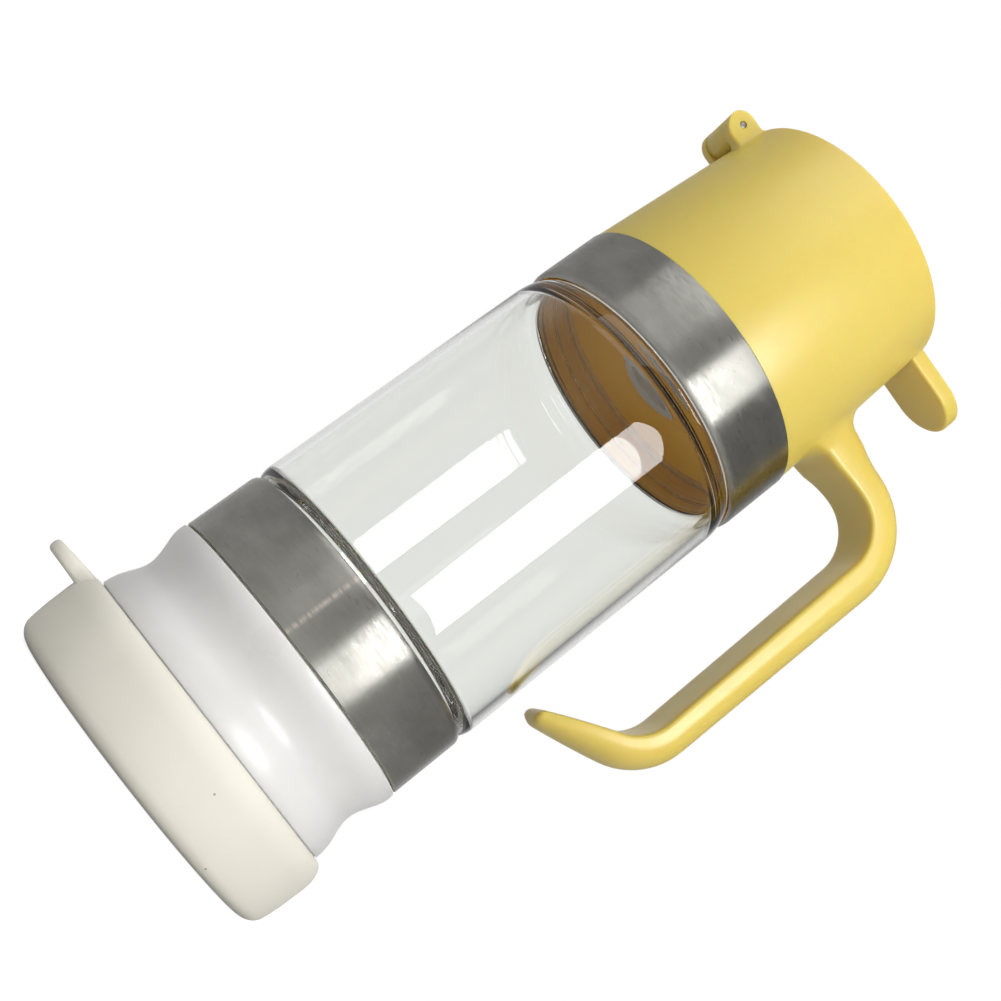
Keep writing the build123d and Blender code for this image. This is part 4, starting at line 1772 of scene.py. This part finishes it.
@dataclass(frozen=True)
class Light:
    """Values in a node tree that depend on a ray, of the world or of the floor."""

    tree: bpy.types.NodeTree

    def seen(self, *kinds: str) -> bpy.types.NodeSocket:
        """Factor that is 1 for rays of the named kinds.

        Args:
            *kinds: Outputs of the light path node.

        Returns:
            Output socket of the factor.
        """
        path = self.tree.nodes.new("ShaderNodeLightPath")
        factor = path.outputs[kinds[0]]
        for kind in kinds[1:]:
            either = self.tree.nodes.new("ShaderNodeMath")
            either.operation = "MAXIMUM"
            self.tree.links.new(factor, either.inputs[0])
            self.tree.links.new(path.outputs[kind], either.inputs[1])
            factor = either.outputs[0]
        return factor

    def shaded(self, along: Vector, span: tuple[float, float],
               levels: tuple[float, float]) -> bpy.types.NodeSocket:
        """Level that changes smoothly along a direction.

        Args:
            along: The direction.
            span: Shares of the direction between which the level changes.
            levels: Levels at both ends.

        Returns:
            Output socket of the level.
        """
        place = self.tree.nodes.new("ShaderNodeTexCoord")
        facing = self.tree.nodes.new("ShaderNodeVectorMath")
        facing.operation = "DOT_PRODUCT"
        facing.inputs[1].default_value = along
        self.tree.links.new(place.outputs["Generated"], facing.inputs[0])
        level = self.tree.nodes.new("ShaderNodeMapRange")
        level.interpolation_type = "SMOOTHSTEP"
        for name, value in zip(("From Min", "From Max", "To Min", "To Max"), (*span, *levels)):
            level.inputs[name].default_value = value
        self.tree.links.new(facing.outputs["Value"], level.inputs["Value"])
        return level.outputs["Result"]

    def mixed(self, share: bpy.types.NodeSocket, low: float | bpy.types.NodeSocket,
              high: float | bpy.types.NodeSocket) -> bpy.types.NodeSocket:
        """Value between two values or sockets.

        Args:
            share: Socket with the share of the second value.
            low: First value.
            high: Second value.

        Returns:
            Output socket of the value.
        """
        mix = self.tree.nodes.new("ShaderNodeMix")
        self.tree.links.new(share, mix.inputs[0])
        for socket, value in ((mix.inputs[2], low), (mix.inputs[3], high)):
            if isinstance(value, bpy.types.NodeSocket):
                self.tree.links.new(value, socket)
            else:
                socket.default_value = value
        return mix.outputs[0]


@dataclass(frozen=True)
class Studio:
    """White studio: floor, soft boxes, world and camera."""

    view: Viewpoint = Viewpoint()
    lamps: tuple[SoftBox, ...] = (
        SoftBox("right_box", -64, 0.245, 0.6, (0.35, 0.21), 2.4),
        SoftBox("left_box", -117, 0.205, 0.6, (0.25, 0.11), 0.07),
        SoftBox("top_box", -135, 1.0, 0.6, (0.9, 0.9), 3.1),
    )
    mirrored: tuple[float, float] = (0.8, 1.05)
    through: tuple[float, float] = (0.35, 0.7)
    through_turn: float = 30.0
    dim_span: tuple[float, float] = (-0.5, 0.5)
    dim: tuple[float, float] = (0.38, 0.2)
    fill: float = 0.55
    floor_radius: float = 3.0
    floor_drop: float = 0.0002
    floor_glow: float = 0.85
    floor_gleam: float = 0.2

    def world(self) -> None:
        """White backdrop behind the bottle, and a dimmer studio round it that steel and glass reflect."""
        world = bpy.data.worlds.new("studio")
        world.use_nodes = True
        tree = world.node_tree
        tree.nodes.clear()
        light = Light(tree)
        ahead = self.view.turn(3) @ self.view.ahead()
        right = self.view.turn(3) @ Vector((1, 0, 0))
        dim = light.shaded(right, self.dim_span, self.dim)
        lit = self.fill
        for kind, span, degrees in (("Is Glossy Ray", self.mirrored, 0.0),
                                    ("Is Transmission Ray", self.through, self.through_turn)):
            towards = Matrix.Rotation(math.radians(degrees), 3, "Z") @ ahead
            white = light.shaded(towards, span, (0.0, 1.0))
            lit = light.mixed(light.seen(kind), lit, light.mixed(white, dim, 1.0))
        shader = tree.nodes.new("ShaderNodeBackground")
        shader.inputs["Color"].default_value = WHITE
        tree.links.new(light.mixed(light.seen("Is Camera Ray"), lit, 1.0), shader.inputs["Strength"])
        output = tree.nodes.new("ShaderNodeOutputWorld")
        tree.links.new(shader.outputs["Background"], output.inputs["Surface"])
        bpy.context.scene.world = world

    def floor(self) -> None:
        """Plain pale floor, white to the camera away from the shadow."""
        mesh = bmesh.new()
        bmesh.ops.create_circle(mesh, cap_ends=True, radius=self.floor_radius, segments=96)
        bmesh.ops.translate(mesh, verts=mesh.verts[:], vec=(0, 0, -self.floor_drop))
        data = bpy.data.meshes.new("floor")
        mesh.to_mesh(data)
        mesh.free()
        sheet = Sheet("pale_floor")
        sheet.tinted(sheet.noise(6.0), 0.3, (0.42, 0.42, 0.42, 1), (0.44, 0.44, 0.44, 1))
        sheet.set(Roughness=0.9, Emission_Color=WHITE)
        light = Light(sheet.tree)
        gleam = light.mixed(light.seen("Is Glossy Ray", "Is Transmission Ray"), 0.0, self.floor_gleam)
        glow = light.mixed(light.seen("Is Camera Ray"), gleam, self.floor_glow)
        sheet.tree.links.new(glow, sheet.surface.inputs["Emission Strength"])
        data.materials.append(sheet.material)
        plane = bpy.data.objects.new("floor", data)
        bpy.context.scene.collection.objects.link(plane)

    def build(self) -> None:
        """Sets up the whole studio."""
        bpy.context.scene.view_settings.view_transform = "Standard"
        self.view.build()
        self.world()
        self.floor()
        for lamp in self.lamps:
            lamp.build()


def main() -> None:
    """Builds the sub-assemblies in order and reports them."""
    logging.basicConfig(level=logging.INFO, format="%(name)s %(message)s")
    yellow = SatinPlastic()
    # Painted shade: the lower ring's yellow plastic is greyed towards olive, as it looks in shade behind the
    # steel lip and glass.
    painted_shade_lower_yellow = SatinPlastic("shade_painted_lower_thread_plastic", colour=(0.70, 0.64, 0.44, 1), shade=(0.66, 0.60, 0.40, 1),
                         gloss=0.2)
    # Painted shade and light: the upper insert's yellow plastic is deepened to orange, as it looks in shade
    # inside the neck, and glows orange in place of light bounced between yellow walls.
    painted_shade_upper_yellow = SatinPlastic("shade_and_glow_painted_thread_plastic", colour=(0.62, 0.34, 0.02, 1), shade=(0.57, 0.31, 0.015, 1),
                         gloss=0.15, glow=0.10)
    natural = SatinPlastic("natural_plastic", "white_plastic", (0.72, 0.7, 0.66, 1), (0.68, 0.66, 0.62, 1))
    honeyed = SealSilicone("honeyed_seal_silicone", colour=(0.70, 0.46, 0.14, 1), shade=(0.62, 0.40, 0.11, 1))
    seamed = BrushedSteel("seamed_band_steel", seam=-100.9)
    head = Head()
    collars = Collars()
    BaseCap().build(MatteSilicone())
    SqueezeBulb().build(MilkySilicone())
    SteelBand("lower_band", Body.FOOT_UNIT, LEVELS.low_band, BandEnd.LIP_UP).build(seamed)
    SteelBand("upper_band", Body.HEAD, LEVELS.high_band, BandEnd.LIP_DOWN).build(BrushedSteel())
    collars.lower(painted_shade_lower_yellow)
    collars.upper(painted_shade_upper_yellow)
    GlassTube().build(ClearGlass())
    Seals().build(SealSilicone(), honeyed, natural)
    head.build(yellow, Handle(), PinSteel())
    Lid().build(yellow, head)
    Studio().build()


if __name__ == "__main__":
    main()
